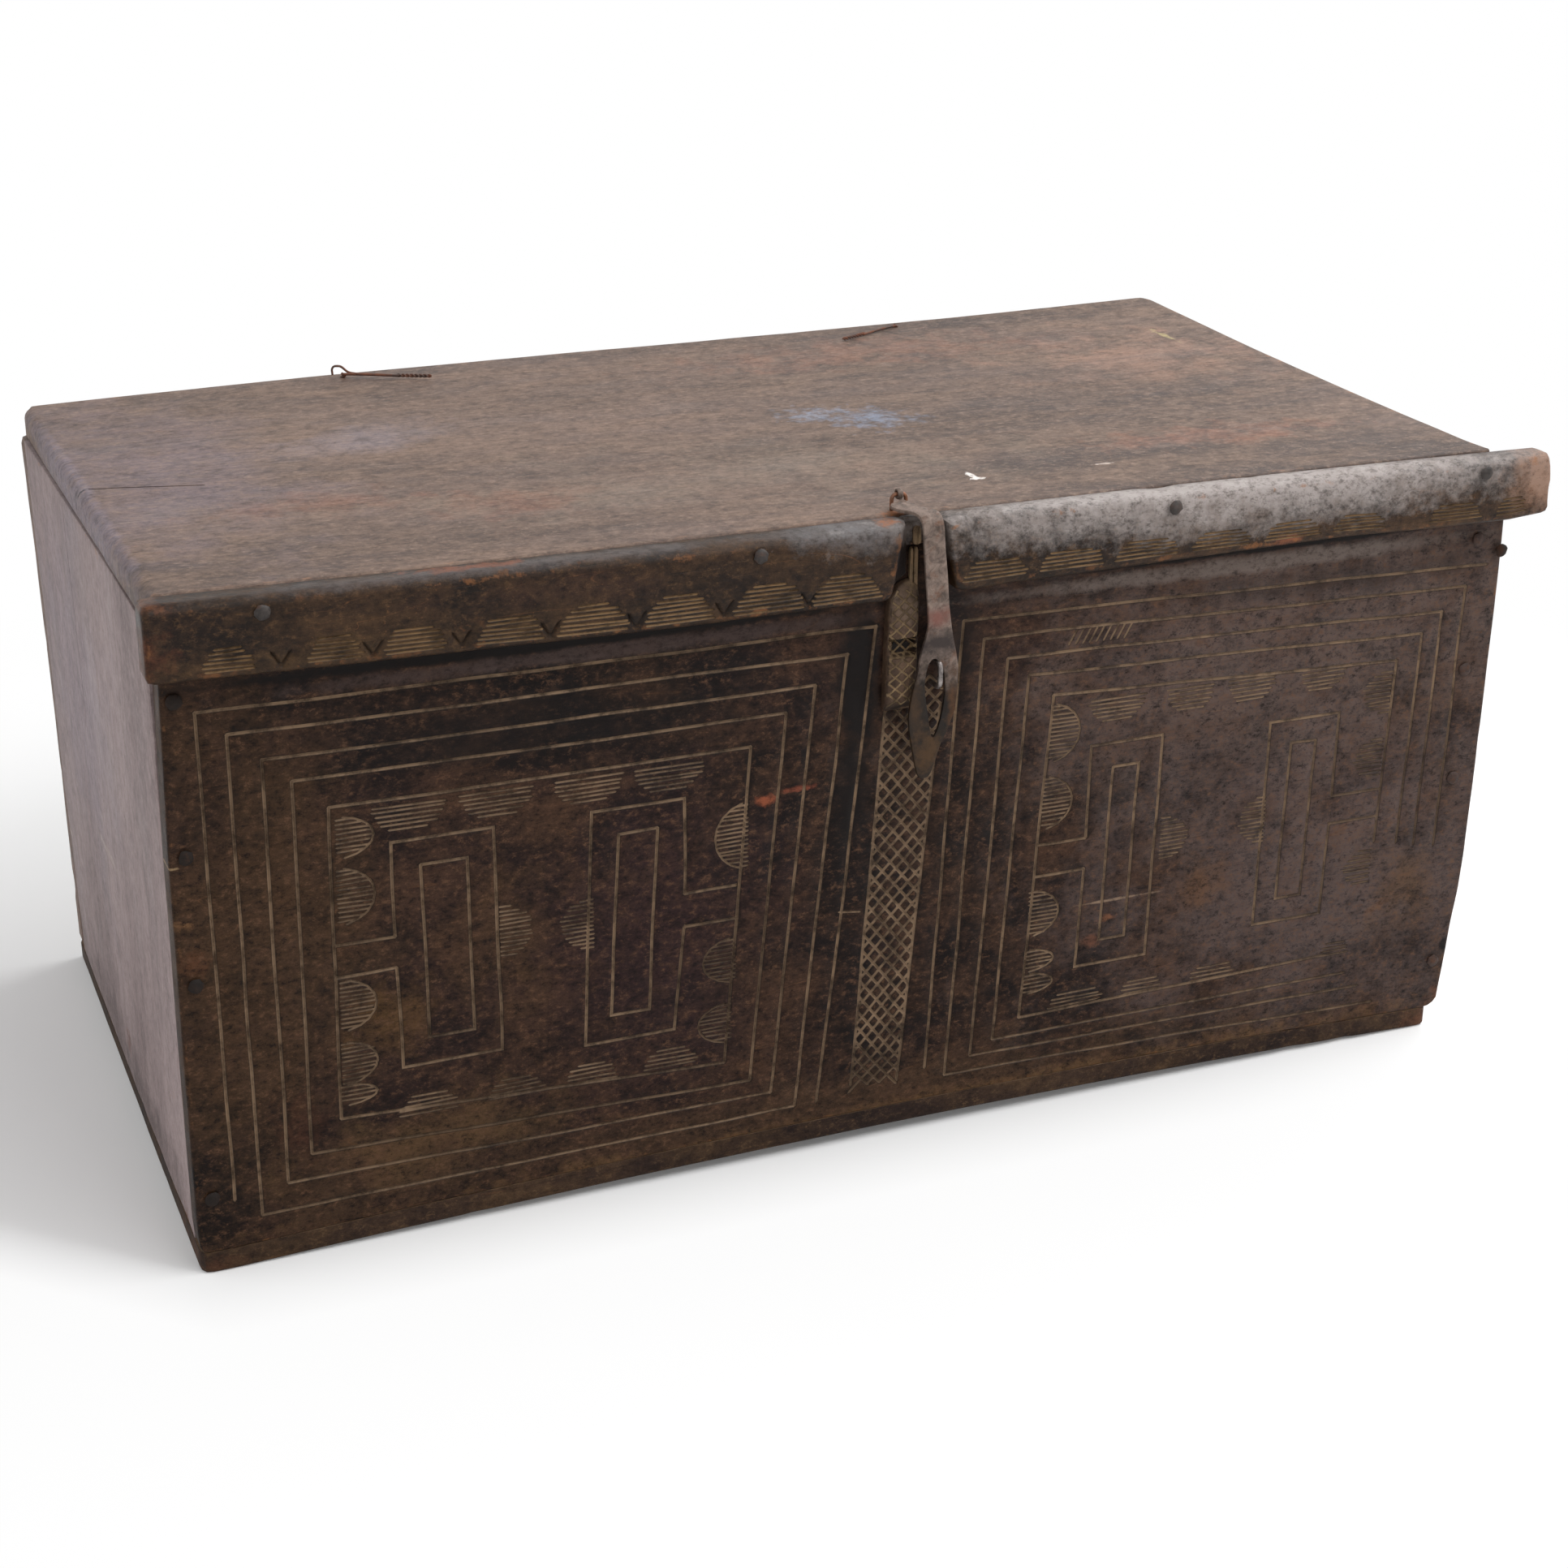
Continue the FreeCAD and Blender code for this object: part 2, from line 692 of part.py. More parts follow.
# ---- boards --------------------------------------------------------------------
def make_front_board():
    """The front board, with its trimmed right foot, the carved tongue and the carved lines."""
    outline = [
        (left, bottom_thickness),
        (right - foot_trim_width, bottom_thickness),
        (right, bottom_thickness + foot_trim_height),
        (right, rim),
        (left, rim),
    ]
    board = prism_along_y(outline, front, front + wall_thickness)
    high = rim - tongue_top_drop
    low = high - tongue_length
    buried = front + wall_thickness / 2
    profile = [
        (buried, high),
        (front, high),
        (front - tongue_crest, high - tongue_crest),
        (front - tongue_crest, low + tongue_crest / 2),
        (front, low),
        (buried, low),
    ]
    tongue = prism_along_x(profile, tongue_x - tongue_width / 2, tongue_x + tongue_width / 2)
    hollow = box(
        tongue_x - hollow_width / 2,
        tongue_x + hollow_width / 2,
        front - 2 * tongue_crest,
        front - hollow_floor,
        high - hollow_drop - hollow_height,
        high - hollow_drop,
    )
    tongue = tongue.cut(hollow)
    stem_low = high - 2 * tongue_crest
    stem_left = stem_x - stem_width / 2
    tongue_stem = box(
        stem_left, stem_left + stem_width, front - stem_crest, buried, stem_low, rim - stem_top_drop
    )
    board = board.fuse([tongue, tongue_stem]).removeSplitter()
    board = drill(board, front_left_places + front_right_places, Y_AXIS, corner_nail_length)
    board = drill(board, [edge_nail_place], Y_AXIS, edge_nail_length)
    board = drill(board, bottom_front_places, Z_AXIS, bottom_nail_length + sunk_depth)
    board = board.cut(lock_holes())
    return board.cut(carved_left_panel() + carved_right_panel() + carved_band())


def make_back_board():
    """The back board, with the holes of the two hinge pins."""
    board = box(left, right, back - wall_thickness, back, bottom_thickness, rim)
    board = drill(board, back_left_places + back_right_places, Y_AXIS * -1, corner_nail_length)
    board = drill(board, bottom_back_places, Z_AXIS, bottom_nail_length + sunk_depth)
    return board.cut([stem_hole(x, hinge_down) for x in (hinge_left_x, hinge_right_x)])


def make_end_board(outer_face, nail_x, front_places, back_places):
    """An end board between the front and the back, nailed through both."""
    inner = front + wall_thickness
    outer = back - wall_thickness
    board = box(outer_face, outer_face + end_thickness, inner, outer, bottom_thickness, rim)
    board = drill(board, front_places, Y_AXIS, corner_nail_length)
    board = drill(board, back_places, Y_AXIS * -1, corner_nail_length)
    return drill(board, bottom_end_places(nail_x), Z_AXIS, bottom_nail_length + sunk_depth)


def make_bottom_board():
    """The bottom board, which carries the walls; its nails' heads are sunk."""
    board = box(left, bottom_right, front, back, 0, bottom_thickness)
    board = drill(board, sunk_bottom_places, Z_AXIS, bottom_nail_length)
    return board.cut([sinking(place) for place in sunk_bottom_places])


def make_lid_board():
    """The one-board lid, with rounded upper edges at its ends and rear."""
    slab = box(lid_left, lid_right, lid_front, lid_rear, rim, lid_top)
    upper = []
    for edge in slab.Edges:
        middle = edge.CenterOfMass
        if abs(middle.z - lid_top) < 0.01 and middle.y > lid_front + 0.01:
            upper.append(edge)
    slab = slab.makeFillet(lid_arris_radius, upper)
    slab = drill(slab, batten_nail_places, Y_AXIS, batten_nail_length)
    slab = slab.cut(eye_holes())
    return slab.cut([stem_hole(x, hinge_up) for x in (hinge_left_x, hinge_right_x)])


def batten_section(x):
    """The batten's end outline: flat at the back, softly bulged and rounded in front."""
    face_y = batten_front + batten_face_bulge
    round_share = 1 - math.sqrt(0.5)
    top_inset = batten_top_round * round_share
    foot_inset = batten_foot_round * round_share
    back_foot = Vector(x, lid_front, batten_foot)
    back_top = Vector(x, lid_front, batten_top)
    top_start = Vector(x, face_y + batten_top_round, batten_top)
    top_middle = Vector(x, face_y + top_inset, batten_top - top_inset)
    face_top = Vector(x, face_y, batten_top - batten_top_round)
    face_middle = Vector(x, batten_front, (batten_top + batten_foot) / 2)
    face_foot = Vector(x, face_y, batten_foot + batten_foot_round)
    foot_middle = Vector(x, face_y + foot_inset, batten_foot + foot_inset)
    foot_end = Vector(x, face_y + batten_foot_round, batten_foot)
    edges = [
        Part.LineSegment(back_foot, back_top),
        Part.LineSegment(back_top, top_start),
        Part.Arc(top_start, top_middle, face_top),
        Part.Arc(face_top, face_middle, face_foot),
        Part.Arc(face_foot, foot_middle, foot_end),
        Part.LineSegment(foot_end, back_foot),
    ]
    return Part.Face(Part.Wire([edge.toShape() for edge in edges]))


def make_lid_front_batten():
    """The lipping nailed to the lid's front edge, notched for the hasp; a web is left on the lid."""
    start = left - batten_overhang_left
    length = body_length + batten_overhang_left + batten_overhang_right
    bar = batten_section(start).extrude(Vector(length, 0, 0))
    top_half = notch_top_width / 2
    foot_half = notch_foot_width / 2
    outline = [
        (notch_x - top_half, batten_top),
        (notch_x - foot_half, batten_foot),
        (notch_x + foot_half, batten_foot),
        (notch_x + top_half, batten_top),
    ]
    notch = prism_along_y(outline, batten_front - batten_face_bulge, lid_front)
    web = box(left, right, lid_front - notch_web, lid_front, rim, lid_top)
    bar = bar.cut(notch.cut(web))
    return drill(bar, batten_nail_places, Y_AXIS, batten_nail_length)


# ---- all nodes -------------------------------------------------------------------
def nails(places, way, length):
    """One node's nails."""
    return group([nail(place, way, length) for place in places])


def all_parts():
    """Every node of the chest by its name."""
    forward = Y_AXIS * -1
    right_inner = right_end_face - end_thickness
    return {
        "front_board": make_front_board(),
        "back_board": make_back_board(),
        "left_end_board": make_end_board(left, left_nail_x, front_left_places, back_left_places),
        "right_end_board": make_end_board(
            right_inner, right_seat_x, front_right_places, back_right_places
        ),
        "bottom_board": make_bottom_board(),
        "lid_board": make_lid_board(),
        "lid_front_batten": make_lid_front_batten(),
        "batten_nails": nails(batten_nail_places, Y_AXIS, batten_nail_length),
        "front_left_nails": nails(front_left_places, Y_AXIS, corner_nail_length),
        "front_right_nails": nails(front_right_places, Y_AXIS, corner_nail_length),
        "back_left_nails": nails(back_left_places, forward, corner_nail_length),
        "back_right_nails": nails(back_right_places, forward, corner_nail_length),
        "bottom_front_nails": group([sunk_nail(place) for place in bottom_front_places]),
        "bottom_back_nails": group([sunk_nail(place) for place in bottom_back_places]),
        "bottom_end_nails": group([sunk_nail(place) for place in bottom_end_nail_places]),
        "front_edge_nail": nail(edge_nail_place, Y_AXIS, edge_nail_length, edge_nail_stand_off),
        "hasp": make_hasp(),
        "hasp_eye": make_hasp_eye(),
        "lock_staple": make_lock_staple(),
        "left_hinge_lid_pin": lid_pin(hinge_left_x, 1, True),
        "left_hinge_back_pin": back_pin(hinge_left_x),
        "right_hinge_lid_pin": lid_pin(hinge_right_x, -1, False),
        "right_hinge_back_pin": back_pin(hinge_right_x),
    }


def main():
    """Write one STEP file for each node."""
    os.makedirs("parts", exist_ok=True)
    for name, shape in all_parts().items():
        shape.exportStep(f"parts/{name}.step")
        print(name, len(shape.Solids), "solids, valid:", shape.isValid())


main()
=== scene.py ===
"""Coffer chest: worn and carved boards, forged iron and a plain pale studio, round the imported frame.

Lengths are in millimetres in the part's own frame until a mesh is made, then metres. A shape is
(points, faces, marks), where the marks are values per point that the materials read.
"""
import functools
import itertools
import math

import bpy
import numpy as np
from mathutils import Matrix, Vector
from mathutils.geometry import delaunay_2d_cdt


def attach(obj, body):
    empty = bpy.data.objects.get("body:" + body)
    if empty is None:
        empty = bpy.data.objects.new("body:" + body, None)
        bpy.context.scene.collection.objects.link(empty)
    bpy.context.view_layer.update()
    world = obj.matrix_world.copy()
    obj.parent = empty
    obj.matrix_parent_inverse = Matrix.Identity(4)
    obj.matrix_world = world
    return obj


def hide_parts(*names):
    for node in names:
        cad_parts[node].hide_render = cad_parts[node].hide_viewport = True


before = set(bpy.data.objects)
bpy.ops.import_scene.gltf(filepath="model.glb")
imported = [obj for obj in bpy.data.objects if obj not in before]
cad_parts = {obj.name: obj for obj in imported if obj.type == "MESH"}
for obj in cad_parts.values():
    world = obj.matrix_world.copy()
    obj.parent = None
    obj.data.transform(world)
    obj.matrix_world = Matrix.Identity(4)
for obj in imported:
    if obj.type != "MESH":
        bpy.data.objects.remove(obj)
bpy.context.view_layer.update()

MM = 0.001
FRONT_Y, REAR_Y = -233.0, 233.0  # the case's front and rear faces
LEFT_X, RIGHT_X = -448.0, 438.0  # the outer faces of the end boards
HALF_LENGTH = 448.0
FOOT, RIM, LID_TOP = 14.0, 407.0, 427.0  # heights of the upright boards' feet, the case's rim, the lid
BOW, BOW_REACH = 8.0, 60.0  # how far the case's foot bows up off the floor, and how high that is felt
NAIL_LEFT, NAIL_RIGHT = -438.0, 428.0  # the corner nails' two columns
SHARP = math.radians(40)  # edges above this angle are shaded sharp


# ---- noise and shape helpers ---------------------------------------------------
def noise(points, size, seed, octaves=1):
    """Smooth noise from -1 to 1 at (n, 3) points; size is how far apart its bumps are."""
    points = np.asarray(points, float)
    total = np.zeros(len(points))
    weight, reach = 1.0, 0.0
    for octave in range(octaves):
        cells = points / size + seed * 7.31 + octave * 3.7
        base = np.floor(cells).astype(np.int64)
        part = cells - base
        part = part * part * (3 - 2 * part)
        value = np.zeros(len(points))
        for corner in itertools.product((0, 1), repeat=3):
            spot = base + np.array(corner)
            code = spot[:, 0] * 73856093 ^ spot[:, 1] * 19349663 ^ spot[:, 2] * 83492791
            code = (code ^ (seed * 668265263)) & 0x7FFFFFFF
            code = ((code ^ (code >> 13)) * 1274126177) & 0x7FFFFFFF
            sample = ((code ^ (code >> 16)) % 20011) / 10005.0 - 1
            share = np.prod(np.where(np.array(corner) == 1, part, 1 - part), axis=1)
            value += sample * share
        total += value * weight
        reach += weight
        weight *= 0.55
        size = size / 2
    return total / reach


def spots(*axes):
    """Rows of coordinates; a plain number stands for a whole column."""
    return np.column_stack(np.broadcast_arrays(*axes))


def depth_share(points):
    """How far back points lie, from 0 at the front face to 1 at the rear one."""
    return np.clip((points[:, 1] - FRONT_Y) / (REAR_Y - FRONT_Y), 0, 1)


def settle(points):
    """The case's old twist: its upper corners sit a few millimetres high or low."""
    points = np.array(points, float)
    run = points[:, 0] / HALF_LENGTH
    corner = np.sign(run) * np.abs(run) ** 2.2
    depth = depth_share(points)
    lift = corner * (-2.8 * (1 - depth) + 4.4 * depth)
    points[:, 2] += lift * np.clip(points[:, 2] / LID_TOP, 0, 1.1) ** 2
    return points


def resample(outline, spacing):
    """Points along a closed outline, at most spacing apart."""
    points = []
    for start, end in zip(outline, outline[1:] + outline[:1]):
        start, end = np.array(start, float), np.array(end, float)
        count = max(1, int(math.ceil(np.linalg.norm(end - start) / spacing)))
        points += [start + (end - start) * step / count for step in range(count)]
    return np.array(points)


def unit_rows(vectors):
    """Each row at length 1."""
    return vectors / np.maximum(np.linalg.norm(vectors, axis=1), 1e-9)[:, None]


def square_to(way, guide):
    """Two unit vectors square to a direction and to each other."""
    one = np.cross(way, guide)
    one /= np.linalg.norm(one)
    return one, np.cross(way, one)


def outward(loop):
    """Unit normals that point out of a counter-clockwise closed loop."""
    along = np.roll(loop, -1, axis=0) - np.roll(loop, 1, axis=0)
    return unit_rows(np.stack([along[:, 1], -along[:, 0]], axis=1))


def looped(ring):
    """A ring's points with the first one again at the end."""
    return np.vstack([ring, ring[:1]])


def circle(place, radius):
    """Points round a place in a board's plane."""
    turns = np.linspace(0, 2 * math.pi, 16, endpoint=False)
    return np.array([(place[0] + radius * math.cos(t), place[1] + radius * math.sin(t)) for t in turns])


def inside(points, loop):
    """Which points lie in a closed loop."""
    hit = np.zeros(len(points), bool)
    x, y = points[:, 0], points[:, 1]
    for (x0, y0), (x1, y1) in zip(loop, np.roll(loop, -1, axis=0)):
        crosses = (y0 > y) != (y1 > y)
        if y1 != y0:
            hit ^= crosses & (x < (x1 - x0) * (y - y0) / (y1 - y0) + x0)
    return hit


def within(points, loop, holes):
    """Which points lie in a closed loop and in none of its holes."""
    keep = inside(points, loop)
    for hole in holes:
        keep &= ~inside(points, hole)
    return keep


def distance_to_lines(points, lines, reach):
    """The distance from points to the nearest of the polylines, no more than reach."""
    best = np.full(len(points), float(reach))
    order = np.argsort(points[:, 0])
    ordered = points[order, 0]
    for line in lines:
        for start, end in zip(line, line[1:]):
            run = end - start
            size = max(float(run @ run), 1e-12)
            first = np.searchsorted(ordered, min(start[0], end[0]) - reach)
            last = np.searchsorted(ordered, max(start[0], end[0]) + reach)
            index = order[first:last]
            offset = points[index] - start
            share = np.clip(offset @ run / size, 0, 1)
            gap = np.linalg.norm(offset - share[:, None] * run, axis=1)
            best[index] = np.minimum(best[index], gap)
    return best


def hand_line(points, seed, sway=0.7, step=14.0):
    """A line cut by hand: resampled and swaying a little from its course."""
    result = []
    for start, end in zip(points, points[1:]):
        start, end = np.array(start, float), np.array(end, float)
        count = max(1, int(np.linalg.norm(end - start) / step))
        result += [start + (end - start) * part / count for part in range(count)]
    result = np.array(result + [np.array(points[-1], float)])
    flat = spots(*result.T, 0)
    for axis in (0, 1):
        result[:, axis] += sway * noise(flat, 45, seed + axis)
    return result


def cut(line, half, deep, shown=1.0):
    """One groove: its centre line, half its width, its depth and how much pale filling it shows."""
    return {"line": line, "half": half, "deep": deep, "shown": shown}


def groove_sides(groove):
    """The closed line round a groove, mitred at its corners."""
    line, half = groove["line"], groove["half"]
    runs = unit_rows(np.diff(line, axis=0))
    normals = np.stack([-runs[:, 1], runs[:, 0]], axis=1)
    after = np.vstack([normals, normals[-1:]])
    side = unit_rows(np.vstack([normals[:1], normals]) + after)
    side *= half / np.maximum((side * after).sum(1), 0.6)[:, None]
    first = line[0] - runs[0] * half * 1.5
    last = line[-1] + runs[-1] * half * 1.5
    return np.vstack([[first], line + side, [last], (line - side)[::-1]])


# ---- meshes ----------------------------------------------------------------------
def make_object(name, shape, material, body="root", *nodes):
    """A mesh object in metres that rides on a body and stands for some nodes."""
    points, faces, marks = shape
    mesh = bpy.data.meshes.new(name)
    mesh.from_pydata((np.asarray(points) * MM).tolist(), [], faces)
    for mark, values in marks.items():
        layer = mesh.attributes.new(mark, "FLOAT", "POINT")
        layer.data.foreach_set("value", np.asarray(values, np.float32))
    mesh.validate()
    mesh.shade_smooth()
    mesh.set_sharp_from_angle(angle=SHARP)
    mesh.materials.append(material)
    piece = bpy.data.objects.new(name, mesh)
    bpy.context.scene.collection.objects.link(piece)
    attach(piece, body)
    if nodes:
        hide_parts(*nodes)


def joined(parts):
    """Several shapes joined into one; a mark that a part lacks is 0 there."""
    faces, start = [], 0
    for points, part_faces, _ in parts:
        faces += [[index + start for index in face] for face in part_faces]
        start += len(points)
    marks = {
        mark: np.concatenate([marks.get(mark, np.zeros(len(points))) for points, _, marks in parts])
        for mark in sorted(set(itertools.chain.from_iterable(part[2] for part in parts)))
    }
    return np.vstack([part[0] for part in parts]), faces, marks


def band(before, after):
    """Four-sided faces between two loops of point numbers."""
    count = len(before)
    return [[before[(i + 1) % count], before[i], after[i], after[(i + 1) % count]] for i in range(count)]


def sheet(loop, holes, grooves, spacing, seed):
    """A triangulated face inside a loop, with its grooves as edges.

    It gives the points, the triangles and, for each loop, the numbers of its points.
    """
    rng = np.random.default_rng(seed)
    points, edges = [], []

    def add(line, shut):
        start, count = len(points), len(line)
        points.extend(line)
        edges.extend((start + i, start + (i + 1) % count) for i in range(count if shut else count - 1))
        return range(start, start + count)

    loops = [add(ring, True) for ring in [loop] + holes]
    for groove in grooves:
        add(groove["line"], False)
        add(groove_sides(groove), True)
    low, high = loop.min(0), loop.max(0)
    across, upward = (np.arange(low[axis] + spacing / 2, high[axis], spacing) for axis in (0, 1))
    grid = np.array(list(itertools.product(across, upward)))
    if len(grid):
        grid += rng.uniform(-0.25, 0.25, grid.shape) * spacing
        rims = [looped(ring) for ring in [loop] + holes]
        keep = within(grid, loop, holes)
        keep &= distance_to_lines(grid, rims, 3) > min(spacing * 0.2, 2.5)
        if grooves:
            keep &= distance_to_lines(grid, [g["line"] for g in grooves], 4) > min(spacing * 0.3, 3.5)
        points += list(grid[keep])
    result = delaunay_2d_cdt([Vector(p) for p in points], edges, [], 0, 1e-5)
    flat, triangles, origin = np.array([tuple(p) for p in result[0]]), result[2], result[3]
    corners = flat[np.array(triangles)]
    one, two = corners[:, 1] - corners[:, 0], corners[:, 2] - corners[:, 0]
    turned = one[:, 0] * two[:, 1] - one[:, 1] * two[:, 0] < 0
    keep = within(corners.mean(1), loop, holes)
    triangles = [list(t)[::-1] if back else list(t) for t, back, kept in zip(triangles, turned, keep) if kept]
    found = {old: new for new, olds in enumerate(origin) for old in olds}
    return flat, triangles, [[found[i] for i in ring] for ring in loops]


HOLE_STEP, HOLE_ROUND = 2.0, 0.6  # how finely a hole's edge is split, and its arris


def plank(outline, thickness, place, front_round, back_round, grooves=(), holes=(), *,
          spacing, waste, seed, edge_step=6.0, nibbles=0.0, soften=1, dents=None):
    """A board with worn arrises.

    outline runs counter-clockwise in the board's plane; place(u, v, w) gives the solid's points,
    with w the height above the front face. front_round may be a function of the loop's points.
    waste, nibbles and soften wear the outline; dents gives heights to add on the front face.
    """
    rings, rounds = [], []
    for number, line in enumerate([outline, *holes]):
        ring = resample(list(line), HOLE_STEP if number else edge_step)
        if number:
            ring = ring[::-1]
            radius = HOLE_ROUND
        else:
            for _ in range(soften):
                ring = ring * 0.5 + (np.roll(ring, 1, axis=0) + np.roll(ring, -1, axis=0)) * 0.25
            flat = spots(*ring.T, 0)
            loss = waste * (0.5 + 0.5 * noise(flat, 60, seed + 3, 3))
            loss += nibbles * np.clip(noise(flat, 22, seed + 5, 2) - 0.35, 0, 1) * 3
            ring = ring - outward(ring) * loss[:, None]
            radius = front_round(ring) if callable(front_round) else front_round
        rings.append(ring)
        rounds.append(np.minimum(np.full(len(ring), radius, float), thickness * 0.45))
    normals = [outward(ring) for ring in rings]
    face_rings = [ring - normal * radius[:, None] for ring, normal, radius in zip(rings, normals, rounds)]

    flat, triangles, where = sheet(face_rings[0], face_rings[1:], grooves, spacing, seed)
    height, carve = np.zeros(len(flat)), np.zeros(len(flat))
    for deep in sorted({groove["deep"] for groove in grooves}):
        alike = [groove for groove in grooves if groove["deep"] == deep]
        half = alike[0]["half"]
        near = 1 - distance_to_lines(flat, [groove["line"] for groove in alike], half) / half
        carve = np.maximum(carve, near * alike[0]["shown"])
        height = np.minimum(height, -deep * near)
    if dents is not None:
        height = height + dents(flat)
    from_rim = distance_to_lines(flat, [looped(rings[0])], 40.0) - rounds[0].mean()
    rows = [spots(*flat.T, height, carve, np.exp(-np.clip(from_rim, 0, 40) / 6.0), 0)]

    faces, total, sides = list(triangles), len(flat), []
    for ring, face_ring, normal, radius, loop in zip(rings, face_rings, normals, rounds, where):
        rear = HOLE_ROUND if sides else back_round
        full = thickness - rear
        steps = 4 if radius.mean() > 1.5 else 2
        levels = []  # loops from the face to the rear: points, height and wear
        for step in range(1, steps + 1):
            turn = math.pi / 2 * step / steps
            uv = face_ring + normal * (radius * math.sin(turn))[:, None]
            levels.append((uv, -radius * (1 - math.cos(turn)), 1.0 - 0.5 * step / steps))
        levels += [(ring, -radius + (radius - full) * share, 0.25) for share in (0.4, 0.75)]
        turn = math.pi / 4
        levels += [(ring, -full, 0.5), (ring - normal * rear * (1 - math.cos(turn)),
                                        -(thickness - rear * (1 - math.sin(turn))), 0.9)]
        for uv, level, worn in levels:
            rows.append(spots(*uv.T, level, 0, worn, 0))
            after = range(total, total + len(ring))
            faces += band(loop, after)
            loop, total = after, total + len(ring)
        sides.append(loop)

    rear_rings = [ring - normal * (HOLE_ROUND if number else back_round)
                  for number, (ring, normal) in enumerate(zip(rings, normals))]
    flat, triangles, where = sheet(rear_rings[0], rear_rings[1:], [], spacing * 2.2, seed + 9)
    rows.append(spots(*flat.T, -thickness, 0, 0.1, 1))
    faces += [[index + total for index in triangle[::-1]] for triangle in triangles]
    for loop, rear_loop in zip(sides, where):
        faces += band(loop, [index + total for index in rear_loop])
    rows = np.vstack(rows)
    return place(*rows[:, :3].T), faces, dict(zip(("carve", "edge", "rear"), rows[:, 3:].T))


def upright(y):
    """How a small board lies that stands with its face at y."""
    return lambda u, v, w: spots(u, y - w, v)


def rows_of_faces(count, sides, last):
    """Four-sided faces between rows of points, each row once round."""
    faces = []
    for row in range(last):
        after = (row + 1) % count
        for number in range(sides):
            beside = (number + 1) % sides
            faces.append([row * sides + number, row * sides + beside,
                          after * sides + beside, after * sides + number])
    return faces


def tube(path, radius, sides, seed, rough, closed=False):
    """A wire along a path with a slightly uneven thickness."""
    path = np.asarray(path, float)
    count = len(path)
    if closed:
        along = np.roll(path, -1, axis=0) - np.roll(path, 1, axis=0)
    else:
        along = np.gradient(path, axis=0)
    along = unit_rows(along)
    side = np.cross(along[0], [0.31, 0.52, 0.79])
    side /= np.linalg.norm(side)
    sides_at = []
    for way in along:
        side = side - way * (side @ way)
        side = side / np.linalg.norm(side)
        sides_at.append(side)
    sides_at = np.array(sides_at)
    other = np.cross(along, sides_at)
    radius = np.full(count, radius, float)
    points = []
    for number in range(sides):
        turn = 2 * math.pi * number / sides
        way = sides_at * math.cos(turn) + other * math.sin(turn)
        rind = path + way * radius[:, None]
        push = radius * rough * noise(rind, 2.6, seed + 1, 2)
        points.append(rind + way * push[:, None])
    points = np.stack(points, axis=1).reshape(-1, 3)
    faces = rows_of_faces(count, sides, count if closed else count - 1)
    if not closed:
        faces += [list(range(sides))[::-1], list(range((count - 1) * sides, count * sides))]
    return points, faces, {"edge": np.zeros(len(points))}


def run_lengths(path):
    """How far along a path each of its points is."""
    return np.concatenate([[0], np.cumsum(np.linalg.norm(np.diff(path, axis=0), axis=1))])


def rounded_path(corners, radius, step=1.0):
    """A path through corners, each turned with a radius."""
    corners = [np.array(c, float) for c in corners]
    path = [corners[0]]
    for before, corner, after in zip(corners, corners[1:], corners[2:]):
        start, end = before - corner, after - corner
        reach = min(radius, np.linalg.norm(start) * 0.49, np.linalg.norm(end) * 0.49)
        start = corner + start / np.linalg.norm(start) * reach
        end = corner + end / np.linalg.norm(end) * reach
        for share in np.linspace(0, 1, 6):
            path.append((1 - share) ** 2 * start + 2 * share * (1 - share) * corner + share**2 * end)
    path = np.array(path + [corners[-1]])
    lengths = run_lengths(path)
    places = np.linspace(0, lengths[-1], max(2, int(lengths[-1] / step) + 1))
    return np.column_stack([np.interp(places, lengths, path[:, k]) for k in range(3)])


def ring_path(centre, radius, axis, count=40):
    """A closed circle round an axis."""
    one, two = square_to(np.array(axis, float) / np.linalg.norm(axis), [0.3, 0.5, 0.8])
    turns = np.linspace(0, 2 * math.pi, count, endpoint=False)
    return np.array([np.array(centre) + radius * (one * math.cos(t) + two * math.sin(t)) for t in turns])


NAIL_HEAD, NAIL_HEIGHT, NAIL_SHANK = 5.0, 2.3, 1.8
NAIL_LEVELS = ((0.0, 0.94), (-0.22, 1.0), (-0.5, 0.88), (-0.78, 0.62), (-0.93, 0.36), (-1.0, 0.12))


def forged_nail(place, way, length, seed):
    """A hand-forged nail: a faceted, lopsided head and a tapering shank."""
    rng = np.random.default_rng(seed)
    place, way = np.array(place, float), np.array(way, float)
    one, two = square_to(way, [0.21, 0.35, 0.91])
    sides, rows = 14, len(NAIL_LEVELS)
    rim = NAIL_HEAD * (0.93 + 0.07 * rng.uniform(-1, 1, sides))
    facets = 0.05 * rng.uniform(-1, 1, (rows, sides))
    tilt = rng.uniform(-0.6, 0.6, 2)
    points = []
    for row, (drop, share) in enumerate(NAIL_LEVELS):
        shift = (one * tilt[0] + two * tilt[1]) * (-drop) * 0.8 * (1 - share)
        for number in range(sides):
            turn = 2 * math.pi * number / sides
            size = min(rim[number] * (share + (facets[row, number] if row else 0) * share), NAIL_HEAD)
            points.append(place + way * drop * NAIL_HEIGHT + shift
                          + one * math.cos(turn) * size + two * math.sin(turn) * size)
    faces = rows_of_faces(rows, sides, rows - 1)
    faces += [list(range((rows - 1) * sides, rows * sides)), list(range(sides))[::-1]]
    head = (np.array(points), faces, {"edge": np.zeros(len(points))})
    stations = np.linspace(0, 1, 8)
    radius = NAIL_SHANK * np.clip(1.0 - (stations - 0.7) / 0.33, 0.12, 1.0)
    return joined([head, tube([place + way * length * s for s in stations], radius, 8, seed, 0.04)])


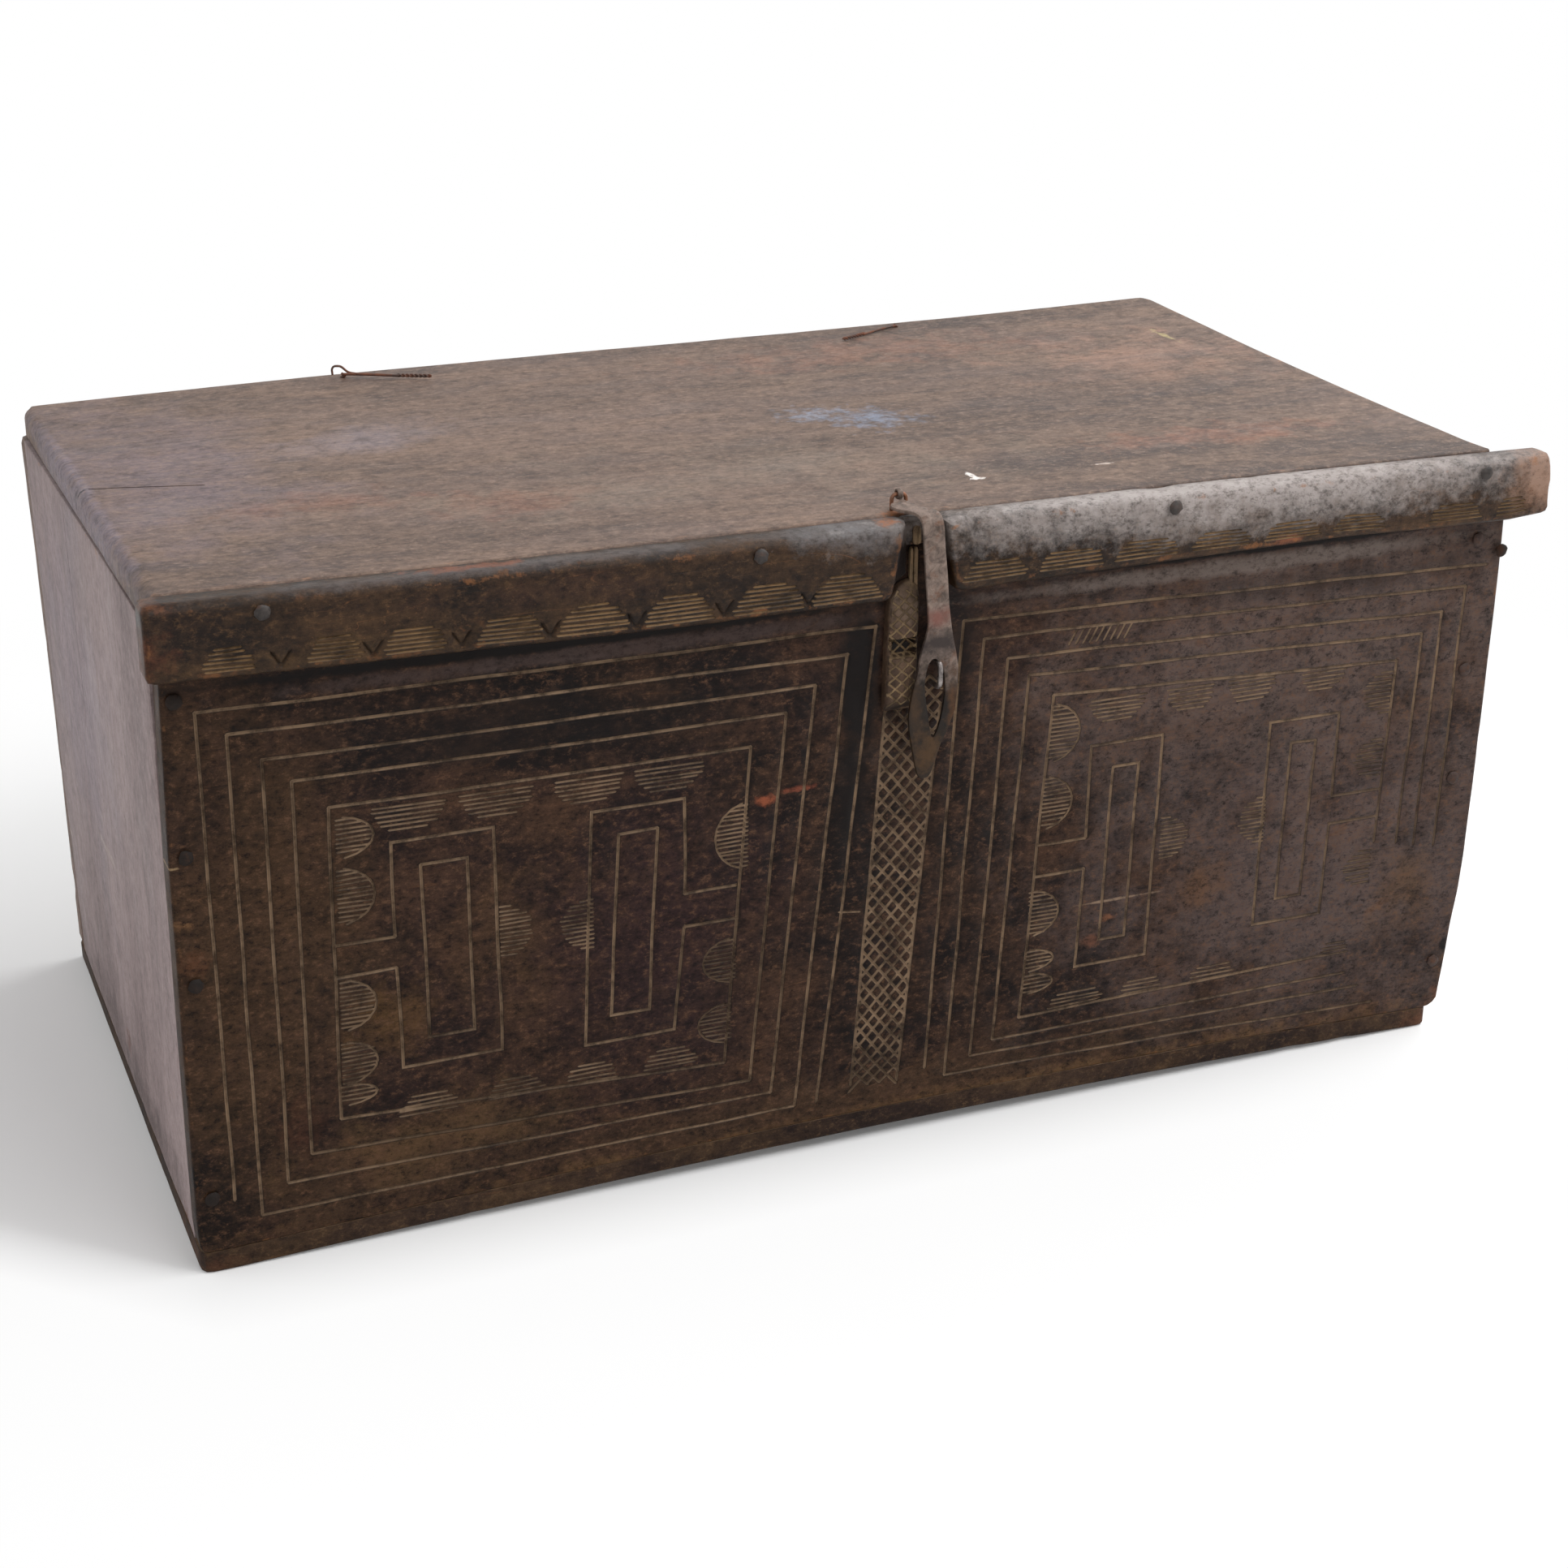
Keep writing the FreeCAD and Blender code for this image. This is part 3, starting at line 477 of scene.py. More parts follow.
# ---- materials -------------------------------------------------------------------
def tone(red, green, blue):
    """A screen colour, 0 to 255, as the linear colour that a shader takes."""
    def linear(value):
        value = value / 255
        return value / 12.92 if value <= 0.04045 else ((value + 0.055) / 1.055) ** 2.4
    return (linear(red), linear(green), linear(blue), 1.0)


REACH = 2.5  # how far out a patch still feels its ragged edge, in its own sizes
# near black, for soot stains and for painted shade under the batten, in its notch and on the tongue
SOOT_AND_SHADE = (18, 13, 12)
INNER = (tone(84, 66, 52), tone(132, 108, 86))  # the boards' bare inner faces, dark and light
EVEN = (1, 1, 1)


class Nodes:
    """A shader tree, built node by node."""

    def __init__(self, tree):
        self.tree = tree
        tree.nodes.clear()

    def add(self, kind, **values):
        node = self.tree.nodes.new(kind)
        for key, value in values.items():
            setattr(node, key, value)
        return node

    def feed(self, socket, value):
        if isinstance(value, bpy.types.NodeSocket):
            self.tree.links.new(value, socket)
        else:
            socket.default_value = value

    def fill(self, node, **values):
        """Feed sockets by name; From_Min stands for "From Min"."""
        for name, value in values.items():
            self.feed(node.inputs[name.replace("_", " ")], value)

    def math(self, operation, one, two=0.0, clamp=False):
        node = self.add("ShaderNodeMath", operation=operation, use_clamp=clamp)
        self.feed(node.inputs[0], one)
        self.feed(node.inputs[1], two)
        return node.outputs[0]

    def most(self, *values):
        return functools.reduce(lambda one, two: self.math("MAXIMUM", one, two), values)

    def times(self, *values):
        return functools.reduce(lambda one, two: self.math("MULTIPLY", one, two), values)


class Paint(Nodes):
    """One procedural material; colour is what it has been given so far."""

    def __init__(self, name):
        self.material = bpy.data.materials.new(name)
        self.material.use_nodes = True
        super().__init__(self.material.node_tree)
        self.wanders = {}
        self.shader = self.add("ShaderNodeBsdfPrincipled")
        self.surface = self.add("ShaderNodeOutputMaterial").inputs["Surface"]
        self.feed(self.surface, self.shader.outputs["BSDF"])
        self.place = self.add("ShaderNodeTexCoord").outputs["Object"]

    def stretch(self, scale, shift):
        """Object coordinates, scaled for a texture that runs one way."""
        node = self.add("ShaderNodeMapping")
        self.fill(node, Vector=self.place, Scale=scale, Location=shift)
        return node.outputs["Vector"]

    def noise(self, scale, stretch=EVEN, detail=5.0, rough=0.6, shift=(0, 0, 0), distort=0.0):
        node = self.add("ShaderNodeTexNoise")
        self.fill(node, Vector=self.stretch(stretch, shift), Scale=scale, Detail=detail,
                  Roughness=rough, Distortion=distort)
        return node.outputs["Fac"]

    def mark(self, name):
        return self.add("ShaderNodeAttribute", attribute_name=name).outputs["Fac"]

    def span(self, value, low, high, start=0.0, end=1.0):
        """value from low..high to start..end, held at the ends."""
        node = self.add("ShaderNodeMapRange", clamp=True)
        self.fill(node, Value=value, From_Min=low, From_Max=high, To_Min=start, To_Max=end)
        return node.outputs["Result"]

    def mix(self, share, one, two):
        node = self.add("ShaderNodeMix", data_type="RGBA")
        for number, value in ((0, share), (6, one), (7, two)):
            self.feed(node.inputs[number], value)
        return node.outputs[2]

    def over(self, share, tint):
        """Lay a tint over the colour so far."""
        self.colour = self.mix(share, self.colour, tint)

    def patch(self, centre, size, soft, ragged, grain):
        """A soft ragged patch round a place, in millimetres."""
        node = self.add("ShaderNodeMapping", vector_type="POINT")
        scale = [1 / (REACH * s * MM) for s in size]
        self.fill(node, Vector=self.place, Scale=scale, Location=[-c * MM * s for c, s in zip(centre, scale)])
        ball = self.add("ShaderNodeTexGradient", gradient_type="SPHERICAL")
        self.fill(ball, Vector=node.outputs["Vector"])
        if grain not in self.wanders:
            self.wanders[grain] = self.noise(grain, detail=6, rough=0.7, shift=(grain, 0.3 * grain, 0))
        wander = self.span(self.wanders[grain], 0.25, 0.75, REACH - ragged, REACH + ragged)
        away = self.math("SUBTRACT", wander, self.times(ball.outputs["Fac"], REACH))
        return self.span(away, 1.0 - soft, 1.0, 1.0, 0.0)

    def stain_and_paint_light(self, patches, *holds):
        """Lay patches over the colour so far: stains, wear, painted highlights and painted shade alike; holds
        let it show through.
        """
        for tint, strength, *spot in patches:
            self.over(self.times(self.patch(*spot), *holds, strength), tone(*tint))

    def bump(self, height, distance, strength, under=None):
        node = self.add("ShaderNodeBump")
        self.fill(node, Strength=strength, Distance=distance, Height=height)
        if under is not None:
            self.fill(node, Normal=under)
        return node.outputs["Normal"]

    def finish(self, colour, roughness, normal=None, metal=0.0, sheen=0.5):
        self.fill(self.shader, Base_Color=colour, Roughness=roughness, Metallic=metal,
                  Specular_IOR_Level=sheen)
        if normal is not None:
            self.fill(self.shader, Normal=normal)
        return self.material


def along(axis, ratio):
    """A stretch that draws a texture out along one axis."""
    return tuple(1.0 / ratio if number == axis else 1.0 for number in range(3))


def wood(name, axis, tones, rough, patches=(), cut_tone=None, speckle=0.4, grime=0.5, sheen=0.3,
         bump_depth=0.0005, seed=0.0, worn_amount=0.3, fleck=0.5, mottled=0.3, streak=0.35, faded=(),
         late=(), inner=True, run=1.4):
    """Old wood: blotches, flecks, grain, pores, scratches, worn arrises, cuts, stains and painted light.

    axis is the grain's; tones are the dark, middle, light and worn ones; patches lie under the wood's
    fine texture and late ones over it, stains, painted highlights and painted shade alike; faded patches
    pale the filling of the cuts, which are first darkened with painted shade.
    """
    paint = Paint(name)
    span, times = paint.span, paint.times
    dark, middle, light, worn = (tone(*values) for values in tones)
    soot_and_groove_shade = tuple(0.32 * c for c in dark[:3]) + (1.0,)
    tan = tuple(0.5 * (one + two) for one, two in zip(middle, light))
    shift = (seed, seed * 0.7, seed * 1.3)
    blotch = paint.noise(7, along(axis, 1.6 * run), 6, 0.62, shift)
    cloud = paint.noise(24, along(axis, run), 8, 0.7, shift, distort=0.2)
    mottle = paint.noise(75, along(axis, 1.3), 9, 0.78, (seed + 3, 1, seed))
    flecks = paint.noise(260, along(axis, 1.5), 8, 0.82, shift)
    grain = paint.noise(160, along(axis, 14), 5, 0.65, shift, distort=0.2)
    fibre = paint.noise(900, along(axis, 30), 3, 0.6, shift)
    fine = paint.noise(420, EVEN, 4, 0.7, shift)
    paint.colour = paint.mix(span(blotch, 0.38, 0.62), dark, middle)
    paint.over(times(span(cloud, 0.42, 0.70), span(grain, 0.35, 0.65, 0.35, 1.0), 0.7), light)
    paint.stain_and_paint_light(patches)
    paint.over(span(mottle, 0.50, 0.64, 0.0, mottled), tan)
    paint.over(span(mottle, 0.36, 0.50, mottled, 0.0), soot_and_groove_shade)
    paint.over(span(grain, 0.50, 0.70, 0.0, streak), dark)
    pores = span(fibre, 0.60, 0.72, 0.0, 0.45)
    paint.over(pores, soot_and_groove_shade)
    paint.over(span(flecks, 0.53, 0.64, 0.0, fleck), light)
    paint.over(span(flecks, 0.37, 0.48, fleck, 0.0), soot_and_groove_shade)
    paint.over(times(span(fine, 0.62, 0.72), span(cloud, 0.45, 0.6, 0.1, 1.0), speckle), worn)
    dirt = span(paint.noise(60, EVEN, 6, 0.75, (seed + 4, 0, 0)), 0.55, 0.70)
    paint.over(times(dirt, grime), soot_and_groove_shade)
    scratch = paint.noise(34, along(axis, 5), 2, 0.5, (seed + 2, 1, 5), distort=0.9)
    scratch = span(paint.math("ABSOLUTE", paint.math("SUBTRACT", scratch, 0.5)), 0.0, 0.0035, 1, 0)
    paint.over(times(scratch, span(cloud, 0.5, 0.6), 0.3), worn)
    paint.stain_and_paint_light(late, span(flecks, 0.38, 0.52, 0.35, 1.0))

    edge = paint.mark("edge")
    rub = span(paint.noise(90, EVEN, 6, 0.7, (seed, 3, 1)), 0.3, 0.7, -0.45, 0.45)
    where = span(paint.noise(14, EVEN, 3, 0.6, (seed, 8, 2)), 0.40, 0.62, 0.15, 1.0)
    wearing = span(paint.math("ADD", edge, rub), 1.06 - 0.5 * worn_amount, 1.30 - 0.5 * worn_amount)
    wearing = times(wearing, where)
    paint.over(times(wearing, 0.8), worn)
    if cut_tone is not None:
        carve = paint.mark("carve")
        patchy = span(paint.noise(70, EVEN, 6, 0.75, (seed + 9, 0, 0)), 0.38, 0.56, 0.25, 1.0)
        filled = span(paint.noise(13, EVEN, 4, 0.6, (seed + 5, 2, 0)), 0.38, 0.58, 0.60, 1.0)
        patchy = times(patchy, filled)
        # each cut is first darkened in its groove, a painted shade, then partly filled with its cut tone
        paint.over(times(span(carve, 0.0, 0.10), 0.6), soot_and_groove_shade)
        inlay = times(span(carve, 0.14, 0.52), patchy)
        for centre, size in faded:
            inlay = times(inlay, span(paint.patch(centre, size, 0.8, 0.5, 20), 0, 1, 1.0, 0.45))
        paint.over(inlay, tone(*cut_tone))
    if inner:
        bare = paint.mix(span(cloud, 0.36, 0.64), *INNER)
        bare = paint.mix(span(grain, 0.46, 0.62, 0.0, 0.6), bare, INNER[0])
        bare = paint.mix(span(flecks, 0.36, 0.48, 0.5, 0.0), bare, dark)
        bare = paint.mix(times(dirt, 0.5), bare, dark)
        paint.over(span(paint.mark("rear"), 0.3, 0.9), bare)

    height = paint.math("ADD", times(grain, 0.6), times(cloud, 0.8))
    height = paint.math("ADD", height, times(flecks, 0.6))
    height = paint.math("SUBTRACT", height, times(pores, 0.5))
    normal = paint.bump(height, bump_depth, 0.7)
    normal = paint.bump(fine, bump_depth * 0.35, 0.8, normal)
    dull = span(cloud, 0.35, 0.7, rough - 0.10, rough + 0.12)
    dull = paint.math("ADD", dull, times(wearing, 0.15), clamp=True)
    return paint.finish(paint.colour, dull, normal, sheen=sheen)


def iron(name, tones, rough, metal, patches=(), seed=0.0, rusting=0.5, sheen=0.5):
    """Forged iron with a dark skin and patches of rust; tones are dark, middle and rust."""
    paint = Paint(name)
    dark, middle, rust = (tone(*values) for values in tones)
    skin = paint.noise(140, EVEN, 7, 0.7, (seed, 0, 0), distort=0.5)
    fine = paint.noise(900, EVEN, 5, 0.7, (0, seed, 0))
    paint.colour = paint.mix(paint.span(skin, 0.35, 0.65), dark, middle)
    rusty = paint.noise(85, EVEN, 7, 0.72, (2, seed, 4))
    rusty = paint.span(rusty, 0.62 - 0.25 * rusting, 0.74 - 0.2 * rusting)
    paint.over(rusty, rust)
    paint.over(paint.span(fine, 0.58, 0.72, 0, 0.6), dark)
    paint.stain_and_paint_light(patches)
    normal = paint.bump(skin, 0.0006, 0.7)
    normal = paint.bump(fine, 0.00012, 0.8, normal)
    dull = paint.span(skin, 0.3, 0.7, rough - 0.1, rough + 0.12)
    dull = paint.math("ADD", dull, paint.times(rusty, 0.2), clamp=True)
    shiny = paint.span(rusty, 0.0, 1.0, metal, metal * 0.15)
    return paint.finish(paint.colour, dull, normal, metal=shiny, sheen=sheen)


def on_face(axis, place, patches):
    """Patches that all lie on one flat face, square to an axis: their centres get its place."""
    return [(tint, strength, (*centre[:axis], place, *centre[axis:]), *rest)
            for tint, strength, centre, *rest in patches]


# ---- the front's cut ornament ------------------------------------------------------
FINE, STROKE = 1.4, 0.95  # half the widths of the main lines and of the small strokes
RING_SHARES = (0.0, 0.23, 0.49, 0.72, 1.0)
TL, TR, FR, FL = range(4)  # a panel's corners: top left, top right, foot right, foot left
LEFT_OUTER = [(-427, RIM - 51), (-12, RIM - 51), (-48, FOOT + 4), (-424.5, FOOT + 2)]
LEFT_INNER = [(-355, RIM - 118), (-94, RIM - 118), (-111, FOOT + 63), (-358, FOOT + 74)]
RIGHT_OUTER = [(47, RIM - 55), (437, RIM - 62), (431, FOOT - 2), (29.5, FOOT + 8.5)]
RIGHT_INNER = [(113, RIM - 113), (372.5, RIM - 123), (366, FOOT + 58), (99, FOOT + 54)]


def between(start, end, share):
    """The point a share of the way from one point to another."""
    return (start[0] + (end[0] - start[0]) * share, start[1] + (end[1] - start[1]) * share)


def nested(outer, inner, outermost, others):
    """A panel's nested lines, each from one end to another.

    An end is a corner, or (one corner, other corner, share of the way from one to the other).
    """
    lines = []
    for share in RING_SHARES:
        corners = [between(one, other, share) for one, other in zip(outer, inner)]
        for ends in others if share else outermost:
            lines.append([])
            for end in ends:
                one, other, way = (end, end, 0) if end in (TL, TR, FR, FL) else end
                lines[-1].append(between(corners[one], corners[other], way))
    return lines


def fret(side, gap, width, drop, height, slant, inner):
    """An upright frame with a channel out to the innermost line, and a closed frame inside it."""
    high_end, low_end = (inner[TL], inner[FL]) if side < 0 else (inner[TR], inner[FR])
    share = (drop + height / 2 - RIM + high_end[1]) / (high_end[1] - low_end[1])
    end_x = between(high_end, low_end, share)[0]
    near = end_x - side * gap
    far = near - side * width
    top, foot = RIM - drop, RIM - drop - height
    high, low = foot + height * 0.59, foot + height * 0.45
    inset = 17.0
    one, other = near - side * inset, far + side * inset
    return [
        [(near, low), (near + slant, foot), (far + slant, foot), (far, top), (near, top), (near, high)],
        [(near, high), (end_x, high)],
        [(near, low), (end_x, low)],
        [(one, top - inset), (other, top - inset), (other + slant, foot + inset), (one + slant, foot + inset),
         (one, top - inset)],
    ]


def half_moon(x, z, width, height, way, seed, pitch=2.9, rimmed=False):
    """Level strokes that fill a half-moon, some with a cut round edge."""
    strokes = []
    side = -1 if way == "left" else 1
    if rimmed:
        turns = np.linspace(-1.35, 1.35, 9)
        strokes.append([(x + side * width * 1.02 * math.cos(t), z + height / 2 * math.sin(t)) for t in turns])
    rng = np.random.default_rng(seed)
    for row in range(int(height / pitch)):
        if way in ("down", "up"):
            drop = (row + 0.3) * pitch
            half = width / 2 * math.sqrt(max(0.05, 1 - (drop / height) ** 2))
            level = z - drop if way == "down" else z + drop
            jitter = rng.uniform(-1.2, 1.2, 2)
            start, end = x - half + jitter[0], (x + half + jitter[1], level + rng.uniform(-0.5, 0.5))
        else:
            level = z + height / 2 - (row + 0.5) * pitch
            share = (level - z) / (height / 2)
            reach = width * math.sqrt(max(0.05, 1 - share**2)) + rng.uniform(-1.5, 1.0)
            start, end = x + side * 0.8, (x + side * reach, level + rng.uniform(-0.6, 0.6))
        strokes.append([(start, level), end])
    return [hand_line(stroke, seed + 3 + number, 0.3, 8) for number, stroke in enumerate(strokes)]


def lattice(left, right, top, bottom, pitch, rise, seed):
    """Crossing diagonals between two side lines, given as functions of the height."""
    lines = []
    starts = bottom + pitch * np.arange(-int(rise / pitch) - 1, int((top - bottom) / pitch) + 2)
    for number, start in enumerate(starts):
        for way in (1, -1):
            course = []
            for share in np.linspace(0, 1, 9):
                level = start + rise * (share if way > 0 else 1 - share)
                if bottom <= level <= top:
                    course.append((left(level) + (right(level) - left(level)) * share, level))
            if len(course) > 2:
                lines.append(hand_line(course, seed + number, 0.5, 10))
    return lines


def side_line(levels, places):
    """A side of the middle band, as a function of the height."""
    return lambda z: float(np.interp(z, levels, places))


band_left = side_line([34, 300, 320], [-23, -5, -4])
band_right = side_line([34, 300, 320], [10, 33, 34.5])
main_lines = nested(
    LEFT_OUTER, LEFT_INNER,
    [((FL, TL, 0.09), TL), (TL, TR), (TR, (FR, TR, 0.04))], [(FL, TL), (TL, TR), (TR, FR), (FR, FL)])
main_lines += nested(
    RIGHT_OUTER, RIGHT_INNER,
    [((FL, TL, 0.06), TL), (TL, TR)], [(FL, TL), (TL, TR), (TR, (FR, TR, 0.38)), (FL, (FL, FR, 0.90))])
for values in (
    (-1, 37.0, 62.0, 145.0, 147.0, 1.0, LEFT_INNER), (1, 35.0, 59.0, 145.0, 155.0, -7.0, LEFT_INNER),
    (-1, 36.5, 53.0, 151.5, 157.0, -3.0, RIGHT_INNER), (1, 39.0, 53.0, 154.5, 147.5, -2.0, RIGHT_INNER),
):
    main_lines += fret(*values)
main_lines = [hand_line(line, 11 + number, 0.6) for number, line in enumerate(main_lines)]

MOON_ROWS = (  # way, seed, rimmed or not, and for each half-moon x, z, width and height
    ("down", 200, False, [(-308, 285, 43, 18), (-255, 285, 44, 18), (-198, 285, 43, 18),
                          (-147, 285, 43, 18)]),
    ("down", 260, False, [(160, 287, 40, 18), (214, 287, 34, 18), (260, 287, 36, 18), (315, 287, 34, 18)]),
    ("right", 320, True, [(-352, 269, 22, 26), (-353, 232, 22, 36), (-355, 162, 22, 33), (-356, 124, 22, 29),
                          (-357, 103, 22, 14)]),
    ("right", 380, True, [(111, 268, 22, 40), (108, 220, 22, 37), (102, 143, 22, 33), (100, 109, 22, 16),
                          (100, 92, 22, 15)]),
    ("left", 440, True, [(-95, 231, 22, 44), (-103, 148, 22, 31), (-106, 105, 22, 28)]),
    ("left", 480, False, [(371, 262, 22, 32), (368, 215, 22, 30), (367, 134, 22, 27)]),
    ("right", 520, False, [(-256, 193, 21, 36)]), ("left", 530, False, [(-196, 189, 21, 35)]),
    ("right", 540, False, [(198, 181, 20, 33)]), ("left", 550, False, [(279, 183, 20, 35)]),
    ("up", 560, False, [(-303, 81, 37, 15), (-248, 81, 35, 15), (-199, 81, 33, 15), (-147, 81, 34, 15)]),
    ("up", 600, False, [(141, 70, 40, 14), (191, 70, 30, 14), (246, 70, 34, 14), (344, 70, 22, 14)]),
)
strokes = []
for way, seed, rimmed, places in MOON_ROWS:
    for number, place in enumerate(places):
        strokes += half_moon(*place, way, seed + 9 * number, rimmed=rimmed)
strokes += [hand_line([(122 + 5 * n, 327), (127 + 5 * n, 336)], 640 + n, 0.3, 8) for n in range(9)]
strokes += [hand_line([(-33, 168), (-19, 166)], 660, 0.3, 8)]
main_lines += lattice(band_left, band_right, 320, 34, 10.6, 40, 700)
for side, top, seed in ((band_left, 352, 790), (band_right, 300, 792)):
    main_lines.append(hand_line([(side(z), z) for z in np.arange(top, 33, -12.0)], seed, 0.5))
front_cuts = [cut(line, FINE, 1.1) for line in main_lines] + [cut(line, STROKE, 0.8) for line in strokes]


# ---- how each board lies --------------------------------------------------------------
def arch(x):
    """From 0 near the case's ends to 1 in its middle."""
    return np.clip(1 - (np.asarray(x, float) / 425) ** 2, 0, 1)


def lift_bottom(points):
    """Bow the bottom board and its nails up off the floor between the case's ends."""
    points = np.array(points, float)
    points[:, 2] += BOW * arch(points[:, 0])
    return points


def bow_up(points):
    """Lift the lowest part of an upright board by the same bow."""
    points = np.array(points, float)
    points[:, 2] += BOW * arch(points[:, 0]) * np.clip(1 - points[:, 2] / BOW_REACH, 0, 1)
    return points


def lean(points):
    """The left end leans out at its upper rear corner and in at its foot."""
    points = np.array(points, float)
    near_left = np.clip((-points[:, 0] - 380) / 60, 0, 1)
    points[:, 0] += near_left * depth_share(points) * (-4.0 + 8.5 * (1 - np.clip(points[:, 2] / RIM, 0, 1)))
    return points


def lean_and_settle(points):
    """All of the case's bends but the bow of its foot."""
    return settle(lean(points))


def ripple(points, size, depth, seed):
    """Uneven hand-planed surface heights."""
    return depth * noise(points, size, seed, 3)


def front_place(u, v, w):
    flat = spots(u, 0, v)
    y = FRONT_Y - w + 0.9 + ripple(flat, 120, 0.6, 21) + ripple(flat, 30, 0.25, 22)
    return lean_and_settle(bow_up(spots(u, y, v)))


def back_place(u, v, w):
    y = REAR_Y + w - 0.9 - np.abs(ripple(spots(u, 0, v), 90, 0.9, 31))
    return lean_and_settle(bow_up(spots(-u, y, v)))


def left_place(u, v, w):
    x = LEFT_X - w + 0.5 + ripple(spots(0, u, v), 80, 0.8, 41)
    return lean_and_settle(bow_up(spots(x, -u, v)))


def right_place(u, v, w):
    x = RIGHT_X + w - 0.6 + ripple(spots(0, u, v), 80, 0.6, 51)
    return lean_and_settle(bow_up(spots(x, u, v)))


def bottom_place(u, v, w):
    return lift_bottom(lean(spots(u, -v, -w)))


def lid_place(u, v, w):
    flat = spots(u, v, 0)
    return settle(spots(u, v, LID_TOP - 0.6 + w + ripple(flat, 130, 0.5, 61) + ripple(flat, 28, 0.15, 62)))


# ---- board materials ---------------------------------------------------------------------
# a patch: tint, strength, centre, size, softness, raggedness and the grain of its ragged edge
front_patches = on_face(1, FRONT_Y, [
    ((66, 47, 30), 0.75, (-400, 200), (90, 60, 260), 0.8, 0.9, 14),
    ((98, 82, 76), 0.75, (285, 290), (280, 60, 140), 0.8, 0.7, 14),
    ((92, 77, 73), 0.75, (340, 130), (250, 60, 150), 0.8, 0.7, 18),
    ((92, 66, 38), 0.7, (-326, 150), (30, 60, 30), 0.9, 1.0, 34),
    ((96, 72, 46), 0.6, (-300, 60), (110, 60, 34), 0.9, 1.0, 24),
    ((100, 68, 42), 0.6, (235, 145), (22, 60, 22), 0.9, 0.8, 40),
    ((88, 64, 42), 0.6, (392, 120), (34, 60, 40), 0.9, 0.9, 30),
    ((74, 54, 38), 0.65, (-60, 34), (460, 60, 30), 0.7, 0.8, 26),
    ((80, 57, 36), 0.6, (-250, 190), (50, 60, 60), 0.9, 0.9, 30),
    (SOOT_AND_SHADE, 0.6, (-20, 200), (40, 60, 120), 0.8, 0.6, 40),
    (SOOT_AND_SHADE, 0.6, (60, 215), (40, 60, 110), 0.8, 0.6, 40),
    ((44, 28, 29), 0.85, (-160, 180), (100, 60, 130), 0.8, 0.6, 18),
    ((82, 46, 32), 0.4, (-385, 90), (18, 60, 26), 0.9, 0.9, 60),
    ((120, 86, 56), 0.7, (-443, 230), (8, 60, 3), 0.8, 0.9, 160),
    ((98, 60, 38), 0.5, (-438, 205), (10, 60, 10), 0.9, 0.9, 110),
    ((160, 134, 100), 0.8, (-446, 266), (5, 60, 1.2), 0.5, 0.5, 200),
    ((114, 70, 46), 0.6, (436, 22), (14, 60, 8), 0.9, 0.9, 90),
    ((108, 80, 52), 0.7, (60, 20), (420, 60, 8), 0.9, 0.9, 60),
])
front_late = on_face(1, FRONT_Y, [
    (SOOT_AND_SHADE, 0.75, (-200, 322), (190, 60, 32), 0.9, 0.9, 24),
    (SOOT_AND_SHADE, 0.6, (330, 345), (120, 60, 12), 0.9, 0.9, 30),
    # painted reflection: lighter grey strips along the front board's top, just under the batten
    ((112, 99, 92), 0.95, (240, 365), (208, 60, 7), 0.5, 0.35, 40),
    ((72, 58, 54), 0.9, (-190, 363), (225, 60, 6), 0.6, 0.4, 40),
    # painted shade: the dark line under the batten's foot, where its shadow falls on the front board
    (SOOT_AND_SHADE, 1.5, (-220, 372), (230, 60, 5), 0.5, 0.25, 50),
    (SOOT_AND_SHADE, 1.5, (240, 376), (215, 60, 4.5), 0.5, 0.25, 50),
    (SOOT_AND_SHADE, 1.5, (-23, 318), (17, 60, 62), 0.6, 0.35, 40),
    (SOOT_AND_SHADE, 1.0, (-28, 250), (16, 60, 60), 0.8, 0.6, 40),
    (SOOT_AND_SHADE, 0.9, (48, 330), (16, 60, 40), 0.8, 0.6, 40),
    ((136, 74, 50), 0.95, (-84, 252), (8, 40, 5), 0.6, 0.5, 160),
    ((122, 66, 48), 0.9, (-62, 257), (13, 40, 2.2), 0.6, 0.7, 160),
    ((116, 76, 54), 0.9, (162, 130), (10, 40, 3), 0.7, 0.8, 120),
    ((100, 64, 48), 0.8, (151, 116), (9, 40, 5), 0.7, 0.8, 140),
    ((128, 106, 88), 1.0, (168, 143), (32, 40, 1.0), 0.5, 0.5, 60),
    (SOOT_AND_SHADE, 1.4, (436, 62), (4, 40, 7), 0.6, 0.6, 120),
    (SOOT_AND_SHADE, 1.2, (58, 18), (6, 40, 3), 0.6, 0.6, 120),
])
front_wood = wood(
    "front_wood", 0, ((16, 9, 8), (38, 24, 21), (94, 67, 49), (112, 76, 48)), 0.48, front_patches,
    cut_tone=(132, 109, 87), speckle=0.35, grime=0.45, sheen=0.11, seed=1.0, worn_amount=0.1, fleck=0.8,
    mottled=0.5, streak=0.25, late=front_late,
    faded=[((-230, FRONT_Y, 70), (200, 60, 22)), ((-110, FRONT_Y, 130), (50, 60, 70)),
           ((-8, FRONT_Y, 44), (34, 60, 26)), ((395, FRONT_Y, 130), (120, 60, 170))],
)
